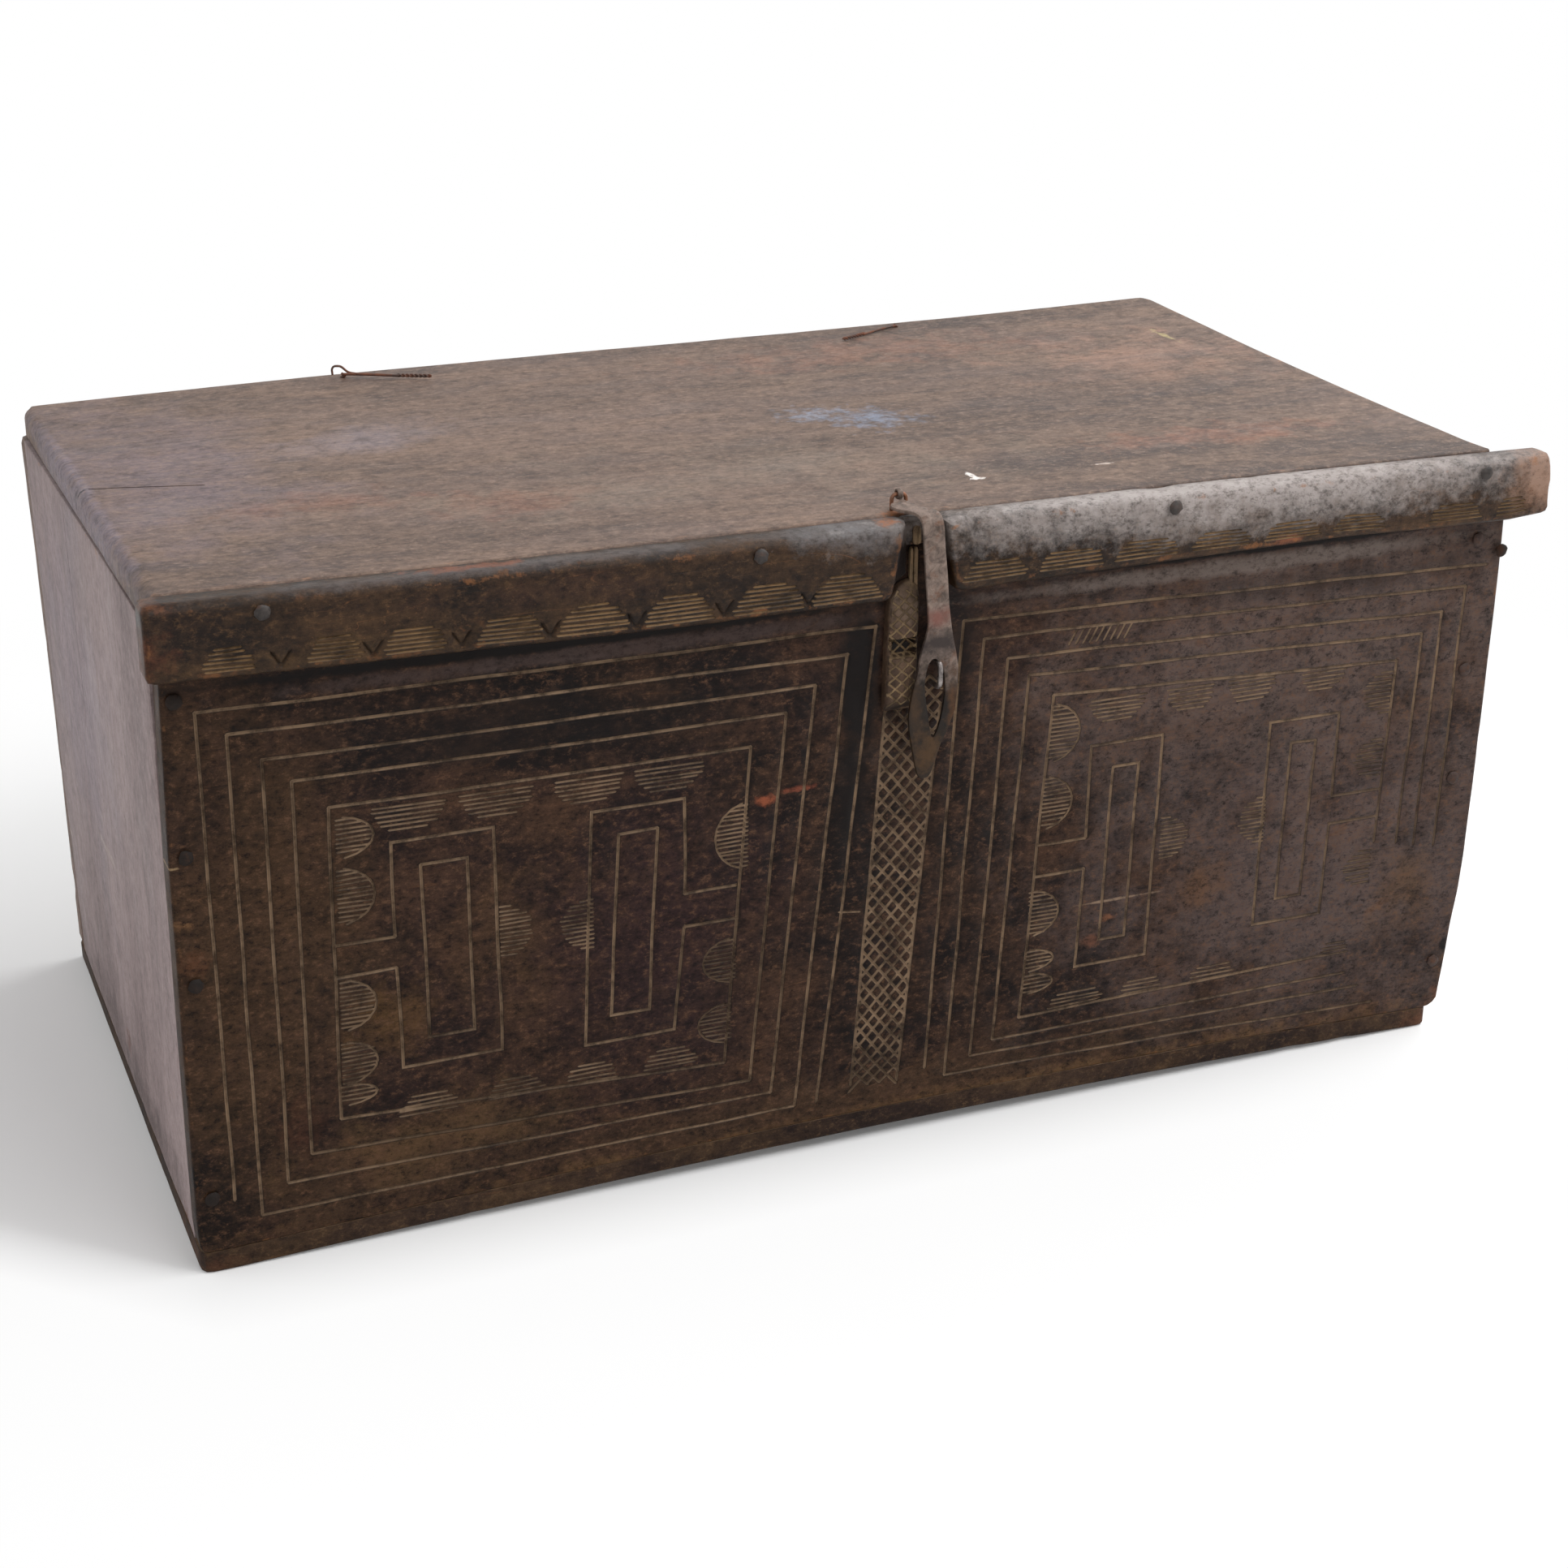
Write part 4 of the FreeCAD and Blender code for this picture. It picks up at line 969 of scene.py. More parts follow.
case_wood = wood(
    "case_wood", 2, ((113, 95, 94), (154, 136, 135), (190, 172, 170), (150, 112, 88)), 0.6, [
        ((142, 130, 140), 0.5, (-448, 80, 260), (60, 160, 150), 0.8, 0.6, 16),
        ((120, 68, 46), 0.8, (-448, -186, 10), (30, 9, 14), 0.7, 0.8, 120),
        ((120, 68, 46), 0.8, (-446, 1, 42), (30, 10, 12), 0.7, 0.8, 120),
        ((66, 54, 52), 0.6, (-448, 0, 26), (60, 260, 30), 0.9, 0.8, 24),
        ((182, 166, 158), 0.6, (-448, 15, 176), (30, 48, 3), 0.6, 0.8, 90),
        ((182, 166, 158), 0.6, (-448, 215, 112), (30, 22, 2.5), 0.6, 0.8, 90),
    ], speckle=0.2, grime=0.3, bump_depth=0.0006, seed=3.0, worn_amount=0.1, fleck=0.35, streak=0.45, run=3.0,
)
bottom_wood = wood(
    "bottom_wood", 0, ((34, 23, 20), (56, 41, 34), (102, 78, 54), (118, 80, 52)), 0.6, [
        ((104, 64, 44), 0.6, (424, -228, 6), (22, 60, 12), 0.9, 0.9, 70),
        ((96, 60, 42), 0.5, (-438, -228, 4), (22, 60, 10), 0.9, 0.9, 70),
    ], speckle=0.3, grime=0.4, sheen=0.12, seed=5.0, worn_amount=0.15, fleck=0.6, streak=0.25,
)
rear_looks = dict(
    speckle=0.3, grime=0.45, sheen=0.25, bump_depth=0.0008, worn_amount=0.15, fleck=0.45, mottled=0.35,
    streak=0.6, run=6.0,
)
back_patches = on_face(1, REAR_Y, [
    ((112, 82, 60), 0.6, (-120, 330), (150, 60, 40), 0.9, 0.9, 20),
    ((118, 88, 66), 0.6, (210, 140), (120, 60, 60), 0.9, 0.9, 20),
    ((62, 47, 39), 0.7, (0, 26), (470, 60, 26), 0.9, 0.8, 20),
    ((96, 62, 46), 0.7, (-225, 392), (10, 60, 30), 0.9, 0.9, 60),
    ((96, 62, 46), 0.7, (210, 392), (10, 60, 30), 0.9, 0.9, 60),
])
back_wood = wood(
    "back_wood", 0, ((84, 66, 58), (124, 103, 93), (160, 138, 124), (148, 112, 88)), 0.62, back_patches,
    seed=7.0, **rear_looks,
)
right_patches = on_face(0, RIGHT_X, [
    ((112, 84, 64), 0.6, (60, 250), (60, 120, 60), 0.9, 0.9, 20),
    ((66, 52, 46), 0.6, (0, 24), (60, 260, 26), 0.9, 0.8, 24),
    ((104, 68, 50), 0.6, (-180, 330), (60, 30, 60), 0.9, 0.9, 60),
])
right_wood = wood(
    "right_wood", 2, ((84, 67, 61), (122, 103, 96), (158, 138, 128), (148, 112, 88)), 0.6, right_patches,
    seed=17.0, **rear_looks,
)
lid_patches = on_face(2, LID_TOP, [
    ((146, 136, 144), 0.45, (-258, 48), (90, 40, 40), 0.9, 0.8, 22),
    ((122, 108, 115), 0.65, (-400, 20), (110, 220, 40), 0.9, 0.7, 12),
    ((130, 88, 70), 0.55, (-319, -87), (60, 30, 30), 0.9, 1.2, 40),
    ((130, 88, 70), 0.55, (-208, -131), (60, 36, 30), 0.9, 1.2, 40),
    ((142, 96, 76), 0.6, (278, -143), (100, 26, 30), 0.9, 1.2, 40),
    ((138, 98, 80), 0.55, (150, 150), (160, 46, 30), 0.9, 1.2, 40),
    ((160, 124, 105), 0.65, (330, 60), (100, 90, 30), 0.9, 1.1, 30),
    ((124, 109, 96), 0.6, (-40, -120), (200, 80, 30), 0.9, 0.9, 18),
    ((84, 67, 57), 0.5, (-130, 120), (170, 60, 40), 0.9, 1.1, 12),
    ((84, 67, 57), 0.5, (60, -70), (220, 40, 30), 0.9, 1.1, 22),
    ((86, 69, 60), 0.5, (240, 0), (130, 70, 40), 0.9, 1.1, 18),
    ((136, 124, 134), 0.8, (-448, 0), (9, 236, 30), 0.5, 0.3, 50),
])
lid_late = on_face(2, LID_TOP, [
    ((136, 152, 176), 0.6, (78, -20), (32, 28, 12), 1.0, 1.2, 90),
    ((140, 152, 172), 0.5, (44, -2), (24, 22, 12), 1.0, 1.2, 110),
    ((240, 232, 226), 1.3, (78.5, -174), (2.6, 9, 5), 0.4, 0.5, 260),
    ((240, 232, 226), 1.3, (79.5, -182), (6, 2.8, 5), 0.4, 0.6, 260),
    ((230, 214, 204), 1.2, (93.5, -238), (4, 5, 5), 0.4, 0.6, 300),
    ((206, 190, 180), 0.8, (168, -180), (9, 2, 5), 0.5, 0.8, 200),
    ((190, 176, 124), 0.6, (387, 111), (3, 22, 5), 0.5, 1.0, 160),
    ((176, 112, 68), 0.9, (-3, -231), (9, 7, 5), 0.7, 0.8, 200),
    (SOOT_AND_SHADE, 1.2, (-447, -3.5), (6, 2.4, 8), 0.5, 0.4, 120),
])
lid_wood = wood(
    "lid_wood", 0, ((64, 48, 41), (108, 87, 76), (162, 138, 121), (160, 122, 98)), 0.6, lid_patches,
    cut_tone=SOOT_AND_SHADE, speckle=0.45, grime=0.35, bump_depth=0.0008, seed=9.0, worn_amount=0.05, mottled=0.5,
    streak=0.4, late=lid_late, run=2.6,
)
batten_patches = [
    ((104, 60, 40), 0.7, (-458, -244, 396), (22, 30, 26), 1.0, 1.0, 70),
    ((84, 62, 38), 0.6, (-350, -253, 390), (110, 20, 10), 0.8, 1.0, 60),
    ((132, 92, 66), 0.8, (464, -244, 404), (28, 30, 30), 0.9, 0.8, 60),
    ((60, 40, 32), 0.5, (-210, -253, 412), (90, 30, 14), 0.8, 0.7, 30),
]
batten_late = [
    # painted highlights: grey sheen over the upper face each side of the notch, and pale lines along the top
    # arris
    ((158, 149, 145), 1.0, (240, -246, 426), (300, 30, 38), 0.7, 0.3, 90),
    ((104, 100, 100), 1.0, (-38, -246, 427), (50, 30, 24), 0.7, 0.45, 45),
    ((92, 84, 82), 0.7, (-220, -246, 427), (230, 12, 4), 0.6, 0.5, 60),
    ((176, 168, 164), 0.7, (220, -246, 427), (240, 14, 6), 0.8, 0.7, 110),
    ((146, 118, 102), 0.95, (462, -246, 405), (34, 30, 34), 0.7, 0.5, 50),
    ((112, 70, 46), 0.6, (-450, -244, 427), (14, 14, 4), 0.7, 0.8, 90),
    ((126, 72, 46), 0.7, (-270, -240, 427), (40, 6, 2.5), 0.6, 0.9, 90),
    ((150, 92, 54), 0.9, (-12, -244, 427), (10, 12, 4), 0.7, 0.8, 100),
    ((130, 76, 50), 0.9, (268, -252, 386), (14, 20, 4), 0.8, 0.8, 90),
    # painted shade in the notch's left end
    (SOOT_AND_SHADE, 1.6, (-5, -244, 400), (8, 20, 26), 0.6, 0.3, 60),
]
batten_wood = wood(
    "batten_wood", 0, ((22, 14, 10), (45, 31, 23), (96, 70, 46), (140, 92, 56)), 0.42, batten_patches,
    cut_tone=(140, 112, 80), speckle=0.35, grime=0.45, sheen=0.16, bump_depth=0.0007, seed=11.0,
    worn_amount=0.12, fleck=0.6, mottled=0.5, streak=0.25, late=batten_late, inner=False,
)
nail_iron = iron("nail_iron", ((20, 15, 13), (42, 32, 27), (62, 41, 30)), 0.7, 0.0, rusting=0.4, sheen=0.2)
brown_iron = iron("brown_iron", ((40, 30, 27), (82, 66, 60), (84, 58, 44)), 0.66, 0.0, seed=3.0, sheen=0.2)
head_iron = iron("head_iron", ((26, 22, 21), (74, 66, 62), (76, 52, 40)), 0.55, 0.1, seed=8.0, sheen=0.35)
wire_iron = iron("wire_iron", ((46, 33, 28), (84, 58, 46), (112, 68, 48)), 0.6, 0.15, rusting=0.7, seed=2.0)
eye_iron = iron("eye_iron", ((72, 46, 33), (132, 90, 66), (156, 98, 64)), 0.5, 0.2, rusting=0.6, seed=2.5)
lock_iron = iron("lock_iron", ((44, 38, 36), (160, 152, 148), (96, 66, 48)), 0.3, 0.8, rusting=0.2, seed=4.0)
hasp_iron = iron(
    "hasp_iron", ((76, 64, 57), (146, 127, 116), (108, 78, 62)), 0.58, 0.05, [
        ((118, 72, 62), 0.8, (21, -245, 362), (14, 20, 10), 0.9, 0.6, 90),
        ((50, 42, 40), 0.95, (24, -245, 345), (26, 20, 13), 0.8, 0.4, 90),
        ((34, 24, 15), 1.0, (18, -248, 288), (44, 20, 52), 0.4, 0.3, 60),
        ((14, 10, 8), 0.8, (22, -247, 304), (12, 20, 34), 0.7, 0.8, 110),
        ((74, 52, 30), 0.8, (17, -248, 276), (14, 20, 18), 0.9, 1.0, 120),
        ((80, 52, 30), 0.8, (34, -248, 306), (5, 20, 26), 0.9, 1.0, 120),
        ((66, 46, 28), 0.7, (9, -248, 300), (5, 20, 20), 0.9, 1.0, 120),
    ], rusting=0.35, seed=6.0, sheen=0.25,
)
tongue_wood = wood(
    "tongue_wood", 2, ((40, 28, 22), (74, 56, 45), (110, 88, 68), (140, 112, 84)), 0.55, [
        ((106, 87, 72), 0.8, (3, -240, 372), (16, 14, 18), 0.6, 0.5, 60),
        ((140, 116, 88), 0.9, (10, -236, 400), (8, 10, 26), 0.6, 0.4, 60),
    ], cut_tone=(148, 124, 94), sheen=0.15, grime=0.4, seed=13.0, worn_amount=0.1, late=[
        # painted shade: in the hollow across the tongue and at the step of its foot
        (SOOT_AND_SHADE, 1.4, (3, -238, 343), (12, 14, 7), 0.5, 0.4, 60),
        (SOOT_AND_SHADE, 1.0, (3, -238, 303), (14, 14, 5), 0.8, 0.6, 60),
    ], inner=False,
)

# ---- boards --------------------------------------------------------------------------------
CORNER = (51.0, 191.2, 271.1, 364.0)  # heights of the corner nails


def nail_dimple(flat, places, depth=0.5, reach=9.0):
    """The crushed wood round nail heads."""
    height = np.zeros(len(flat))
    for place in places:
        gap = np.hypot(flat[:, 0] - place[0], flat[:, 1] - place[1])
        height -= depth * np.exp(-(gap / reach) ** 2)
    return height


def front_dents(flat):
    """The nails' dimples and a little unevenness."""
    return nail_dimple(flat, front_nails) + 0.25 * noise(spots(*flat.T, 0), 14, 26, 2)


front_outline = [(x, 14.1 + 1.9 * float(arch(x))) for x in np.linspace(-447, 429, 23)] + [
    (436, 20), (438.5, 45), (441.5, 80), (444.5, 101), (446.5, 130), (447.5, 183), (448, 228),
    (448.6, 274), (449, 310), (449, 336), (448.4, 372), (448, 406.5), (-446.5, 406.5), (-446, 372),
    (-448, 273), (-448.4, 120), (-448.2, 30),
]
front_nails = [(x, z) for x in (NAIL_LEFT, NAIL_RIGHT) for z in CORNER]
front = plank(
    front_outline, 18.9, front_place, lambda ring: 0.7 + 1.5 * (ring[:, 1] > 24), 1.5, front_cuts,
    spacing=9.0, waste=0.5, nibbles=0.5, seed=21, dents=front_dents)
make_object("front_board_worn", front, front_wood, "root", "front_board")


def tongue_place(u, v, w):
    """The tongue's crest along its height, with the hollow across it."""
    crest = np.interp(v, [300, 303, 308, 336, 338, 347, 349, 372, 386],
                      [0.6, 3.4, 6.6, 7.2, 1.6, 1.4, 7.0, 7.2, 2.2])
    hollow = ((v > 337.5) & (v < 347.5)) & (np.abs(u - 3.0) > 7.5)
    crest = np.where(hollow, 6.5, crest)
    side = np.clip(1 - ((u - 3) / 11.5) ** 4, 0, 1)
    level = np.where(w > -4, (crest * (0.55 + 0.45 * side)) + w, w - 0.5)
    return spots(u, FRONT_Y - np.minimum(level, 7.9), v)


tongue_cuts = [cut(line, 0.9, 0.9) for line in lattice(
    lambda z: -8.0 + 0.5 * math.sin(z / 9), lambda z: 13.4, 380, 303, 7.6, 19, 810)]
tongue_cuts += [cut(np.array([(-5.2, z), (11.0, z)], float), 0.5, 0.01) for z in (336.5, 338.0, 347.0, 348.5)]
tongue = plank(
    [(-8, 300), (13.6, 300), (14, 346), (14, 381), (7.5, 385.5), (0, 382), (-6.5, 374), (-7.6, 346)],
    8.0, tongue_place, 1.4, 0.6, tongue_cuts, spacing=3.0, edge_step=2.5, waste=0.3, seed=23)
make_object("tongue_ridge", tongue, tongue_wood)
strips = []
for number, (x, half) in enumerate(((8.9, 1.3), (12.0, 1.45))):
    strips.append(plank(
        [(x - half, 372), (x + half, 372), (x + half - 0.4, 405.5), (x - half - 0.3, 405.5)], 2.6,
        upright(-235.9), 0.7, 0.3, spacing=4, edge_step=3, waste=0.25, seed=24 + number))
make_object("notch_strips", joined(strips), tongue_wood)

back = plank(
    [(-448, 14), (448, 14), (447, 240), (448, 406.8), (-448, 406.8), (-447.4, 200)], 18.9, back_place,
    2.4, 1.5, spacing=14, waste=0.9, nibbles=0.8, seed=31,
    dents=lambda flat: nail_dimple(flat, [(x, z) for x in (-433, 433) for z in CORNER]))
make_object("back_board_worn", back, back_wood, "root", "back_board")

check_line = hand_line([(-60, 404), (-52, 330), (-57, 250)], 45, 1.5)
left = plank(
    [(-212.8, 14.2), (212.8, 14.2), (212.8, 402.8), (120, 404.5), (-60, 406), (-212.8, 406.6)], 19.5,
    left_place, 1.0, 1.0, [cut(check_line, 0.7, 1.2)], spacing=13, waste=0.35, seed=41, soften=0)
make_object("left_end_worn", left, case_wood, "root", "left_end_board")
right = plank(
    [(-212.8, 14.2), (212.8, 14.2), (212.8, 406.6), (-212.8, 406.6)], 19.4,
    right_place, 1.0, 1.0, spacing=13, waste=0.35, seed=51, soften=0)
make_object("right_end_worn", right, right_wood, "root", "right_end_board")

front_row = np.linspace(-378.0, 358.5, 5)
end_row = np.linspace(-143.0, 143.0, 3)
END_COLUMNS = (-438.0, 423.25)
SINK, SINK_ROUND = 2.7, 5.5  # depth and radius of the recesses of the bottom nails' heads
sunk = [(x, y) for y in (-223.0, 223.0) for x in front_row] + [(x, y) for x in END_COLUMNS for y in end_row]


def sinkings(flat):
    """Recesses round the bottom nails' heads, in the underside."""
    height = np.zeros(len(flat))
    for x, y in sunk:
        gap = np.hypot(flat[:, 0] - x, flat[:, 1] + y)
        height = np.minimum(height, np.where(gap < SINK_ROUND, -SINK, 0))
    return height


# two faint lines round each recess keep its wall upright
sinking_rims = [cut(looped(circle((x, -y), radius)), 0.05, 1e-6) for x, y in sunk for radius in (5.3, 5.8)]
bottom = plank(
    [(-448, -233), (428.5, -233), (428.5, 0), (428, 232), (421, 233), (-446, 233), (-448, 228)], 14.0,
    bottom_place, 2.2, 0.6, sinking_rims, spacing=14, waste=0.8, nibbles=1.0, seed=71, dents=sinkings)
make_object("bottom_board_worn", bottom, bottom_wood, "root", "bottom_board")

crack = hand_line([(-447.5, -3), (-420, -9), (-375, -22)], 65, 1.5, 8)
lid_outline = [
    (-449, -234.4), (-200, -234.4), (200, -234.4), (431, -234.4), (428.6, -212), (428.6, -150), (429, -50),
    (431, 40), (436, 140), (440, 222), (436, 233.6), (200, 233.8), (-200, 233.6), (-444, 233.4),
    (-449.2, 226), (-449.2, 0),
]
lid = plank(
    lid_outline, 19.2, lid_place, lambda ring: 2.2 + 1.6 * (ring[:, 1] > -230) + 3.2 * (ring[:, 0] < -444),
    1.2, [cut(crack, 0.9, 4.0)], spacing=10, waste=0.7, nibbles=0.8, seed=61)
make_object("lid_board_worn", lid, lid_wood, "lid", "lid_board")

# ---- batten -----------------------------------------------------------------------------------
# how far the batten's edges wander up or down: places along it, and heights
FOOT_WAVE = ([-458, -310, -165, -19, 150, 310, 364, 435, 467],
             [1.0, -0.6, -2.6, -2.4, 0, 2.2, 1.0, 0.4, 3.0])
TOP_WAVE = ([-458, -240, -100, 153, 331, 427, 467], [0, 0, -0.8, -1.0, -2.2, -2.0, 0])


def batten_place(u, v, w):
    foot = np.interp(u, *FOOT_WAVE) * np.clip((426 - v) / 46, 0, 1)
    top = np.interp(u, *TOP_WAVE) * np.clip((v - 380) / 46, 0, 1) * (w > -9)
    bulge = 1 - ((v - 404) / 22) ** 2
    flat = spots(u, 0, v)
    face = -252.0 - bulge * np.clip(1 + w / 4, 0, 1) - w
    face = face + ripple(flat, 70, 0.35, 81) + ripple(flat, 16, 0.2, 82)
    lean_back = 3.6 * np.clip((v - 399) / 26, 0, 1) ** 1.5 * np.clip((u - 15) / 30, 0, 1)
    face = face + lean_back * np.clip(1 + w / 12, 0, 1)
    face = np.where(w < -14, -234.6, face)
    behind = np.clip((-w - 2) / 6, 0, 1) * np.clip((v - 386) / 8, 0, 1)  # the notch's left end, square behind
    behind = behind * np.clip((u + 30) / 20, 0, 1) * (u < 5)
    end = np.interp(v, [380, 426], [-11.5, -2.5])
    return settle(spots(u + behind * (1.2 - end), face, v + foot + top))


def batten_round(ring):
    """Wide at the top arris, small along the foot and in the notch."""
    return np.interp(ring[:, 1], [381, 386, 418, 425.5], [2.4, 2.0, 3.0, 6.2])


batten_moons, notches = [], []
centres = ((-410, 27), (-351, 30), (-305.5, 35), (-250, 38), (-200, 42), (-147.5, 42), (-91, 44), (-41, 43))
for number, (x, width) in enumerate(centres):
    level = 384.0 + np.interp(x, *FOOT_WAVE) * 0.2
    batten_moons += half_moon(x, level, width, 12 + width * 0.15, "up", 820 + 9 * number, 2.6)
faint = ((58, 42), (110, 44), (163, 44), (216, 42), (268, 40), (318, 38), (392, 40), (436, 20))
for number, (x, width) in enumerate(faint):
    batten_moons += half_moon(x, 385.5, width, 15, "up", 900 + 9 * number, 2.7)
for number, (first, second) in enumerate(zip(centres, centres[1:])):
    # two short cuts that meet in a point, between two half-moons
    middle = ((first[0] + first[1] / 2) + (second[0] - second[1] / 2)) / 2
    for way in (-1, 1):
        stroke = [(middle + way * 5.0, 392.0), (middle, 384.5)]
        notches.append(hand_line(stroke, 980 + 2 * number + (way > 0), 0.3, 6))
batten_cuts = [cut(line, 0.9, 0.8) for line in batten_moons]
batten_cuts += [cut(line, 1.6, 1.2, 0.13) for line in notches]
batten_nails = [(-390.0, 416.4), (-96.95, 416.4), (180.7, 416.4), (413.0, 416.4)]
batten_parts = []
for outline, low, high, seed in (
    ([(-455.6, 380.3), (-11.5, 380.3), (-2.5, 425.8), (-455.4, 425.8)], -452, -12.5, 81),
    ([(31.5, 380.3), (466.4, 381.0), (466.6, 425.0), (22.5, 425.8)], 33, 463, 85),
):
    own = [g for g in batten_cuts if low < g["line"][:, 0].min() and g["line"][:, 0].max() < high]
    batten_parts.append(plank(
        outline, 17.4, batten_place, batten_round, 0.8, own, spacing=7.5, edge_step=5, waste=0.5, nibbles=0.9,
        seed=seed, dents=lambda flat: nail_dimple(flat, batten_nails, 0.6, 8.0)))
batten_parts.append(plank(  # the web behind the notch
    [(-3.6, 407.6), (26.0, 407.6), (22.8, 425.6), (-2.8, 425.6)], 3.8,
    upright(-238.4), 0.4, 0.3, spacing=6, edge_step=5, waste=0.1, seed=88))
make_object("batten_worn", joined(batten_parts), batten_wood, "lid", "lid_front_batten")
strip_top = plank(
    [(7.4, 407.4), (13.2, 407.4), (12.6, 419.5), (7.0, 419.5)], 1.2, upright(-239.6), 0.5, 0.2,
    [cut(np.array([(10.2, 409), (9.9, 418)], float), 0.5, 0.5)], spacing=4, edge_step=3, waste=0.2, seed=89)
make_object("notch_strip_top", strip_top, tongue_wood, "lid")


# ---- nails ----------------------------------------------------------------------------------
def nail_group(node, places, way, length, move, body="root", material=nail_iron):
    """One node's nails as one worn piece."""
    name = node + "_worn"
    seed = 1000 + 31 * len(name)
    points, faces, marks = joined([
        forged_nail(place, way, length, seed + 7 * number) for number, place in enumerate(places)])
    make_object(name, (move(points), faces, marks), material, body, node)


BACKWARD, FORWARD, UPWARD = (0, 1, 0), (0, -1, 0), (0, 0, 1)
for node, x, y, way, material in (
    ("front_left_nails", NAIL_LEFT, -232.6, BACKWARD, nail_iron),
    ("front_right_nails", NAIL_RIGHT, -232.6, BACKWARD, brown_iron),
    ("back_left_nails", NAIL_LEFT, 232.4, FORWARD, nail_iron),
    ("back_right_nails", NAIL_RIGHT, 232.4, FORWARD, nail_iron),
):
    nail_group(node, [(x, y, z) for z in CORNER], way, 51, lean_and_settle, material=material)
nail_group("batten_nails", [(x, -252.6, z) for x, z in batten_nails], BACKWARD, 47, settle, "lid", head_iron)
for node, places in (
    ("bottom_front_nails", [(x, -223, SINK) for x in front_row]),
    ("bottom_back_nails", [(x, 223, SINK) for x in front_row]),
    ("bottom_end_nails", [(x, y, SINK) for x in END_COLUMNS for y in end_row]),
):
    nail_group(node, places, UPWARD, 44, lift_bottom)
nail_group("front_edge_nail", [(445.5, -235.0, 355)], BACKWARD, 22, lean_and_settle)

# ---- hasp ---------------------------------------------------------------------------------------
EYE_X, EYE_Y, EYE_Z = 3.5, -226.0, 436.5
strap_course = rounded_path(
    [(0, -228.3, 433.6), (0, -236.0, 430.2), (0, -249.5, 429.6), (0, -254.7, 425.8), (0, -254.5, 421.0),
     (0, -244.25, 345), (0, -244.25, 310), (0, -250.0, 258)], 5.0)[:, 1:]
strap_slope = unit_rows(np.gradient(strap_course, axis=0))
lengths = run_lengths(strap_course)
bend = int(np.argmax(strap_course[:, 1] < 426.5))


def run_at(z):
    """How far along the strap a height on its hanging part is."""
    return float(np.interp(-z, -strap_course[bend:, 1], lengths[bend:]))


def hasp_place(u, v, w):
    """Bend the flat strap, which hangs down along v, along its course."""
    run = np.clip(-v, 0, lengths[-1])
    y, z, slope_y, slope_z = (
        np.interp(run, lengths, values) for values in (*strap_course.T, *strap_slope.T))
    size = np.hypot(slope_y, slope_z)
    level = w + 1.15 + 0.18 * noise(spots(u, v, 0), 9, 91, 2) * (w > -1.2)
    return spots(u, y + slope_z / size * level, z - slope_y / size * level)


hasp_widths = [  # length along the arm, its left and right edges
    (0.0, 1.9, 5.1), (2.2, 1.9, 5.1), (3.4, -4.6, 7.6), (6.5, -6.2, 9.0), (11.0, -3.4, 12.6),
    (17.0, 2.0, 17.6), (23.0, 5.2, 19.6),
]
hasp_widths += [(run_at(z), middle - half, middle + half) for z, middle, half in (  # the hanging strap
    (425, 12.9, 7.0), (408, 15.4, 7.2), (390, 18.4, 7.5), (372, 21.2, 7.3), (357, 23.8, 7.8),
    (348, 24.2, 9.6), (338, 24.2, 12.2), (328, 24.4, 13.8), (314, 22.6, 15.6), (300, 20.4, 16.0),
    (290, 18.2, 13.6), (279, 16.0, 9.8), (268, 14.8, 6.8), (262, 14.2, 4.8), (259.2, 14.0, 2.4),
)]
hasp_outline = [(low, -run) for run, low, _ in hasp_widths]
hasp_outline += [(high, -run) for run, _, high in hasp_widths[::-1]]
turns = np.linspace(0, 2 * math.pi, 40, endpoint=False)  # round the hasp's slot
low = np.clip(-np.sin(turns), 0, 1)
slot_u = 22.6 + 6.9 * np.cos(turns) * (1 - 0.4 * low) - 1.2 * np.sin(turns) - 3.2 * low**2
slot_v = [-run_at(314.6 + (20.4 if math.sin(t) > 0 else 30.0) * math.sin(t)) for t in turns]
strap = plank(
    hasp_outline, 2.3, hasp_place, 0.7, 0.5, holes=[list(zip(slot_u, slot_v))], spacing=2.6,
    edge_step=2.2, waste=0.25, nibbles=0.15, seed=91)
knuckle = tube(ring_path((EYE_X, EYE_Y, EYE_Z), 2.75, (1, 0, 0), 28), 0.82, 10, 92, 0.05, closed=True)
knuckle[0][:, 0] = EYE_X + (knuckle[0][:, 0] - EYE_X) * 2.1
make_object("hasp_forged", joined([strap, knuckle]), hasp_iron, "hasp", "hasp")

# ---- eye, lock staple and hinges -----------------------------------------------------------------
eye_course = rounded_path(
    [(-1.2, EYE_Y, 411), (-1.2, EYE_Y, 436.4), (8.2, EYE_Y, 436.4), (8.2, EYE_Y, 411)], 3.4, 0.7)
make_object("hasp_eye_wire", tube(eye_course, 1.22, 10, 93, 0.08), eye_iron, "lid", "hasp_eye")

lock_course = rounded_path(
    [(25.5, y, z) for y, z in ((-211.3, 345), (-211.3, 332.5), (-245.7, 332.5), (-245.7, 315.5),
                               (-211.3, 315.5), (-211.3, 303))], 5.0, 0.8)
make_object("lock_staple_wire", tube(lock_course, 1.72, 12, 94, 0.06), lock_iron, "root", "lock_staple")

PIVOT_Y, PIVOT_Z = 242.386, 407.0
SLOPE, SPLAY = math.radians(40), math.radians(26)
UP = np.array([0, -math.cos(SLOPE), math.sin(SLOPE)])
DOWN = np.array([0, -math.cos(SLOPE), -math.sin(SLOPE)])
THROUGH = 20 + 1.6  # a board's thickness and half a pin's
LINK, WIRE, TWIST = 5.0, 1.5, 2.5  # a link's radius, its wire's, and the turns of a pin's twisted part


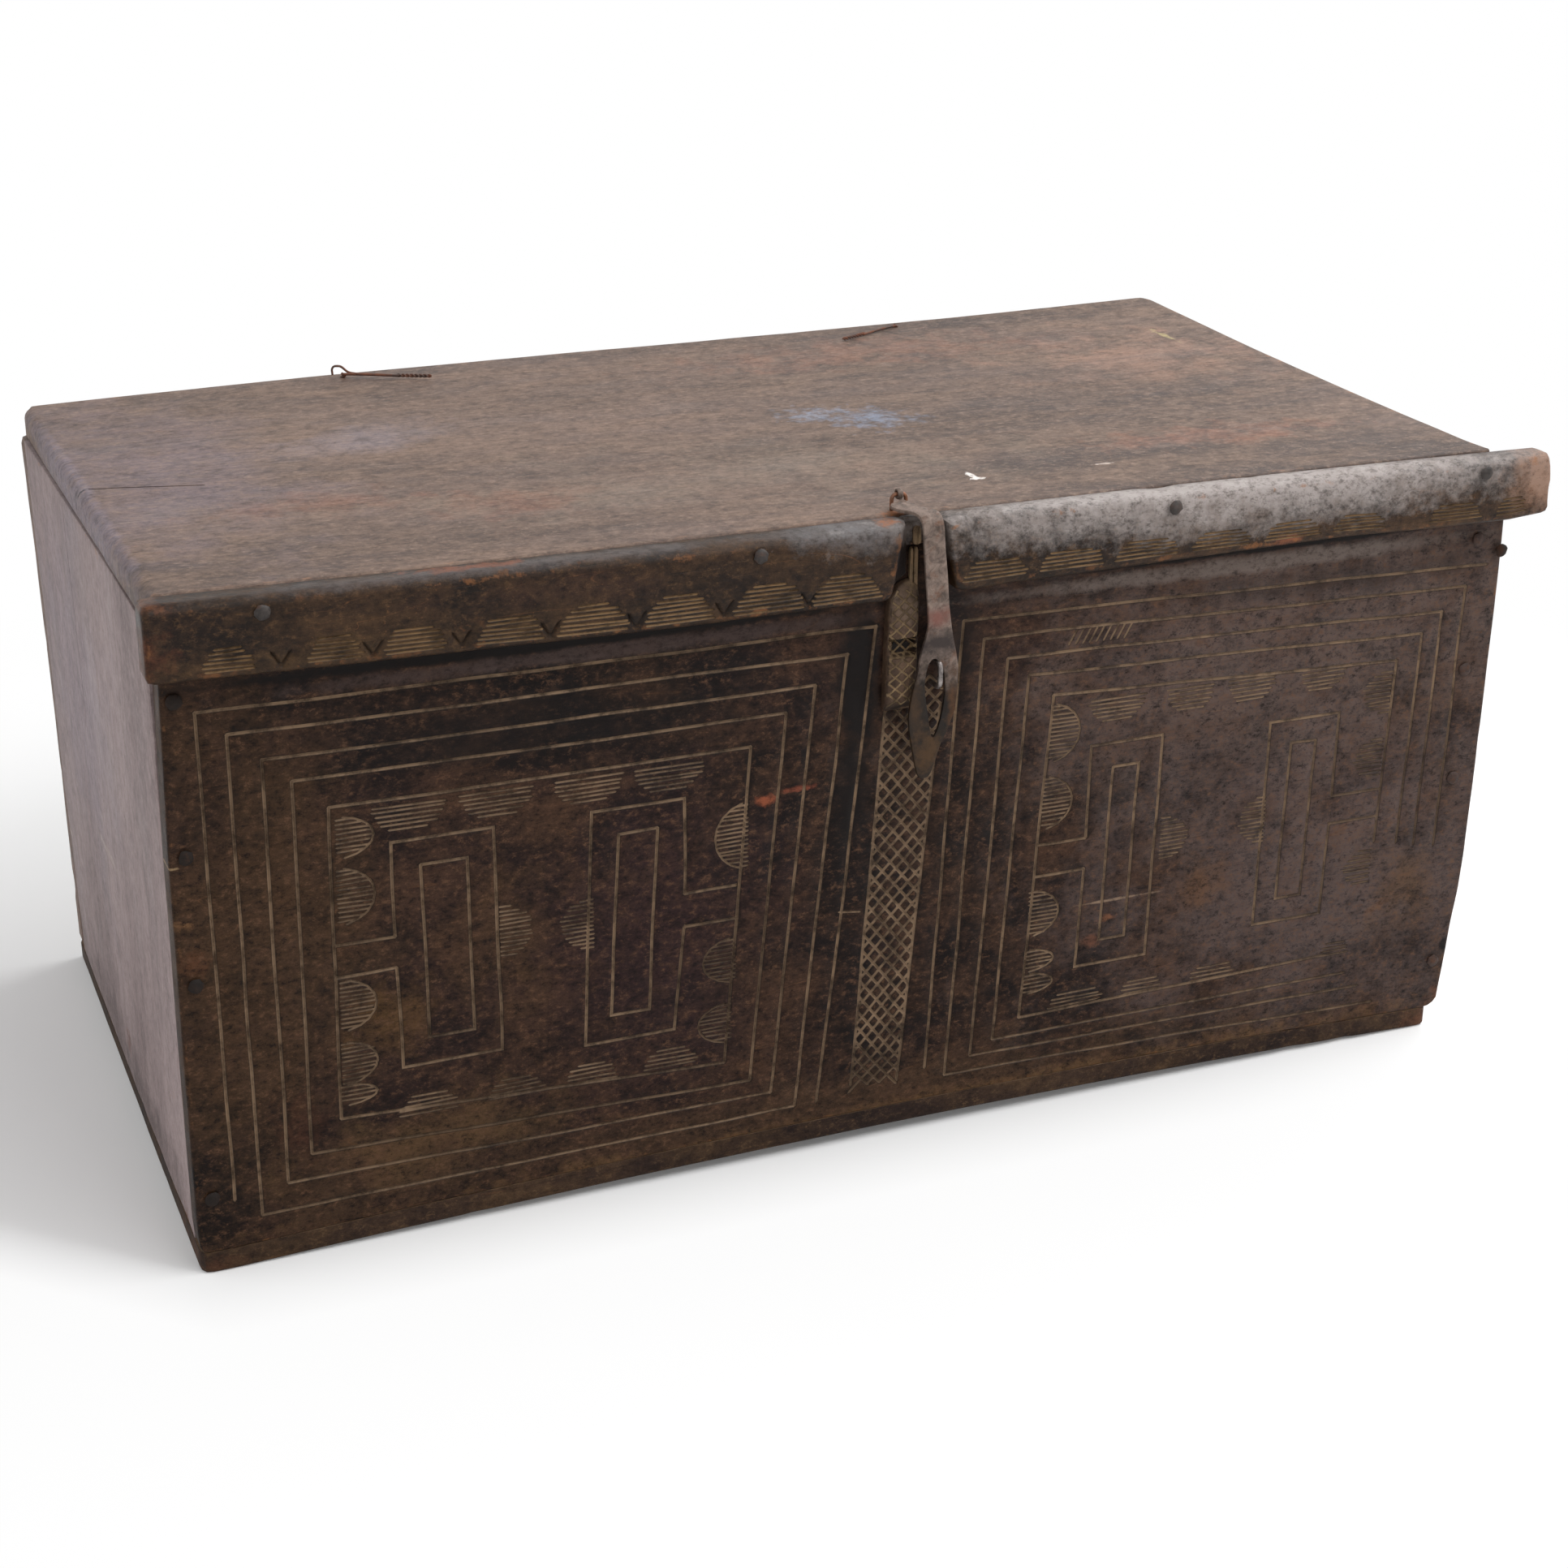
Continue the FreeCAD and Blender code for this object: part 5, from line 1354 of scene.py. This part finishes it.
def twist_pair(start, end, radius, turns, seed, spread):
    """Two thin wires twisted together."""
    start, end = np.array(start, float), np.array(end, float)
    reach = np.linalg.norm(end - start)
    one, two = square_to((end - start) / reach, [0.2, 0.3, 0.9])
    parts = []
    for phase in (0, math.pi):
        course = []
        for share in np.linspace(0, 1, int(reach / 0.9)):
            turn = 2 * math.pi * turns * share + phase
            round_it = spread * (one * math.cos(turn) + two * math.sin(turn))
            course.append(start + (end - start) * share + round_it)
        parts.append(tube(course, radius, 8, seed + int(phase), 0.06))
    return parts


def hinge_pins(x, side, prefix, seed, curled):
    """The linked pins of one hinge: one up through the lid, one forward through the back board."""
    pivot = np.array([x, PIVOT_Y, PIVOT_Z])
    top = pivot + UP * THROUGH / math.sin(SLOPE)
    parts = [tube(ring_path(pivot, LINK, (1, 0, 0)), WIRE, 10, seed, 0.06, closed=True)]
    parts += twist_pair(pivot + UP * LINK, top, 1.15, TWIST, seed + 1, 0.95)
    leg = np.array([side * math.cos(SPLAY), -math.sin(SPLAY), 0])
    course = [top + leg * s + np.array([0, 0.9 * math.sin(s / 9.0), -0.15]) for s in np.linspace(0, 40, 44)]
    parts.append(tube(course, 0.95, 10, seed + 2, 0.1))
    parts += twist_pair(top + leg * 38 + np.array([0, 0, -0.1]), top + leg * 63, 0.75, 4, seed + 3, 0.7)
    if curled:
        hoop = [top + np.array([x * side, y, z]) for x, y, z in (
            (-7.2, 3.9, -1.0), (-7.6, 3.9, 3.4), (-6.0, 3.9, 5.4), (-1.0, 3.8, 5.0), (1.4, 3.2, 2.6),
            (3.5, 0.4, 0.7), (9.0, -4.0, 0.2))]
        parts.append(tube(rounded_path(hoop, 3.0, 0.7), 0.85, 8, seed + 5, 0.08))
    make_object(prefix + "_hinge_lid_wire", joined(parts), wire_iron, "lid", prefix + "_hinge_lid_pin")

    leave = pivot + DOWN * (PIVOT_Y - REAR_Y + THROUGH) / math.cos(SLOPE)
    link = ring_path(pivot + DOWN * LINK, LINK, np.cross([1, 0, 0], DOWN))
    parts = [tube(link, WIRE, 10, seed + 7, 0.06, closed=True)]
    parts += twist_pair(pivot + DOWN * 2 * LINK, leave, 1.15, TWIST, seed + 8, 0.95)
    runs = np.linspace(0, 26, 30)
    for way in (-1, 1):
        course = [leave + np.array([way * s, 0.35 * math.sin(s / 6), 0.6 * math.sin(s / 8)]) for s in runs]
        parts.append(tube(course, 1.35 - 0.02 * runs, 10, seed + 9 + way, 0.08))
    make_object(prefix + "_hinge_back_wire", joined(parts), wire_iron, "root", prefix + "_hinge_back_pin")


hinge_pins(-225.0, 1, "left", 110, True)
hinge_pins(210.0, -1, "right", 140, False)


# ---- floor, light and camera ------------------------------------------------------------------
def make_floor():
    """A pale floor that takes the object's shadow and runs out to plain white further away.

    Before the chest's front and front-left it is painted most of the way to white: painted light that lifts
    the shadow there.
    """
    mesh = bpy.data.meshes.new("floor")
    mesh.from_pydata([(-9, -9, 0), (9, -9, 0), (9, 9, 0), (-9, 9, 0)], [], [(0, 1, 2, 3)])
    paint = Paint("floor_pale")
    grain = paint.noise(3, detail=4)
    material = paint.finish(paint.mix(grain, (0.90, 0.90, 0.90, 1), (0.92, 0.92, 0.92, 1)), 0.9, sheen=0.1)
    paint.fill(paint.shader, Emission_Color=(1, 1, 1, 1))
    away = paint.add("ShaderNodeVectorMath", operation="LENGTH")
    paint.feed(away.inputs[0], paint.place)
    spot = paint.add("ShaderNodeSeparateXYZ")
    paint.feed(spot.inputs[0], paint.place)
    # painted light: before the chest's front and its front-left corner the floor is painted most of the way
    # to white (far), lifting the shadow there
    beyond = paint.math("SUBTRACT", paint.times(spot.outputs["X"], -1.0), 0.45)
    before = paint.math("SUBTRACT", paint.most(beyond, 0.0), spot.outputs["Y"])
    around = paint.span(away.outputs["Value"], 0.66, 1.15)
    far = paint.most(around, paint.span(before, 0.225, 0.30, 0.0, 0.85))
    seen = paint.add("ShaderNodeLightPath").outputs["Is Camera Ray"]
    white = paint.add("ShaderNodeEmission")
    mixed = paint.add("ShaderNodeMixShader")
    paint.fill(paint.shader, Emission_Strength=paint.times(seen, 0.09))
    for number, value in enumerate((paint.times(far, seen), paint.shader.outputs[0], white.outputs[0])):
        paint.feed(mixed.inputs[number], value)
    paint.feed(paint.surface, mixed.outputs[0])
    mesh.materials.append(material)
    floor = bpy.data.objects.new("floor", mesh)
    bpy.context.scene.collection.objects.link(floor)


def make_light(name, place, aim, size, power):
    """A rectangular lamp at a place, turned to a point, both in metres."""
    data = bpy.data.lights.new(name, "AREA")
    data.shape = "RECTANGLE"
    data.size, data.size_y = size
    data.energy = power
    lamp = bpy.data.objects.new(name, data)
    lamp.location = place
    lamp.rotation_mode = "QUATERNION"
    lamp.rotation_quaternion = (Vector(aim) - Vector(place)).to_track_quat("-Z", "Y")
    bpy.context.scene.collection.objects.link(lamp)


def make_world():
    """Plain white where it is seen, softer where it only gives light."""
    world = bpy.data.worlds.new("studio")
    bpy.context.scene.world = world
    world.use_nodes = True
    nodes = Nodes(world.node_tree)
    path = nodes.add("ShaderNodeLightPath").outputs
    white, soft = nodes.add("ShaderNodeBackground"), nodes.add("ShaderNodeBackground")
    for node, strength in ((white, 1.0), (soft, 0.44)):
        nodes.fill(node, Color=(1, 1, 1, 1), Strength=strength)
    mix = nodes.add("ShaderNodeMixShader")
    output = nodes.add("ShaderNodeOutputWorld")
    seen = nodes.most(path["Is Camera Ray"], path["Is Glossy Ray"], path["Is Transmission Ray"])
    for number, value in enumerate((seen, soft.outputs[0], white.outputs[0])):
        nodes.feed(mix.inputs[number], value)
    nodes.fill(output, Surface=mix.outputs[0])


def make_camera():
    """A camera on a stand to the front left, looking down along the chest."""
    azimuth, elevation, roll = math.radians(-22.29), math.radians(21.44), math.radians(0.3)
    forward = Vector((-math.sin(azimuth) * math.cos(elevation), math.cos(azimuth) * math.cos(elevation),
                      -math.sin(elevation)))
    side = forward.cross(Vector((0, 0, 1))).normalized()
    above = side.cross(forward)
    right = side * math.cos(roll) + above * math.sin(roll)
    up = above * math.cos(roll) - side * math.sin(roll)
    data = bpy.data.cameras.new("camera")
    data.sensor_width, data.lens = 36.0, 61.59
    data.shift_x, data.shift_y = 0.0256, -0.0311
    data.clip_start, data.clip_end = 0.05, 60
    camera = bpy.data.objects.new("camera", data)
    place = Vector((-0.6710, -1.6280, 0.8899))
    camera.matrix_world = Matrix((*zip(right, up, -forward, place), (0, 0, 0, 1)))
    bpy.context.scene.collection.objects.link(camera)
    bpy.context.scene.camera = camera


make_floor()
make_light("key", (1.8, -0.4, 2.6), (0.0, -0.2, 0.2), (4.4, 1.0), 91)
make_light("fill", (-2.6, 0.5, 1.6), (0, 0, 0.2), (1.8, 1.8), 12)
make_light("front", (0.6, -2.0, 2.6), (0, -0.6, 0.0), (1.6, 1.2), 20)
make_world()
make_camera()
bpy.context.scene.view_settings.view_transform = "Standard"
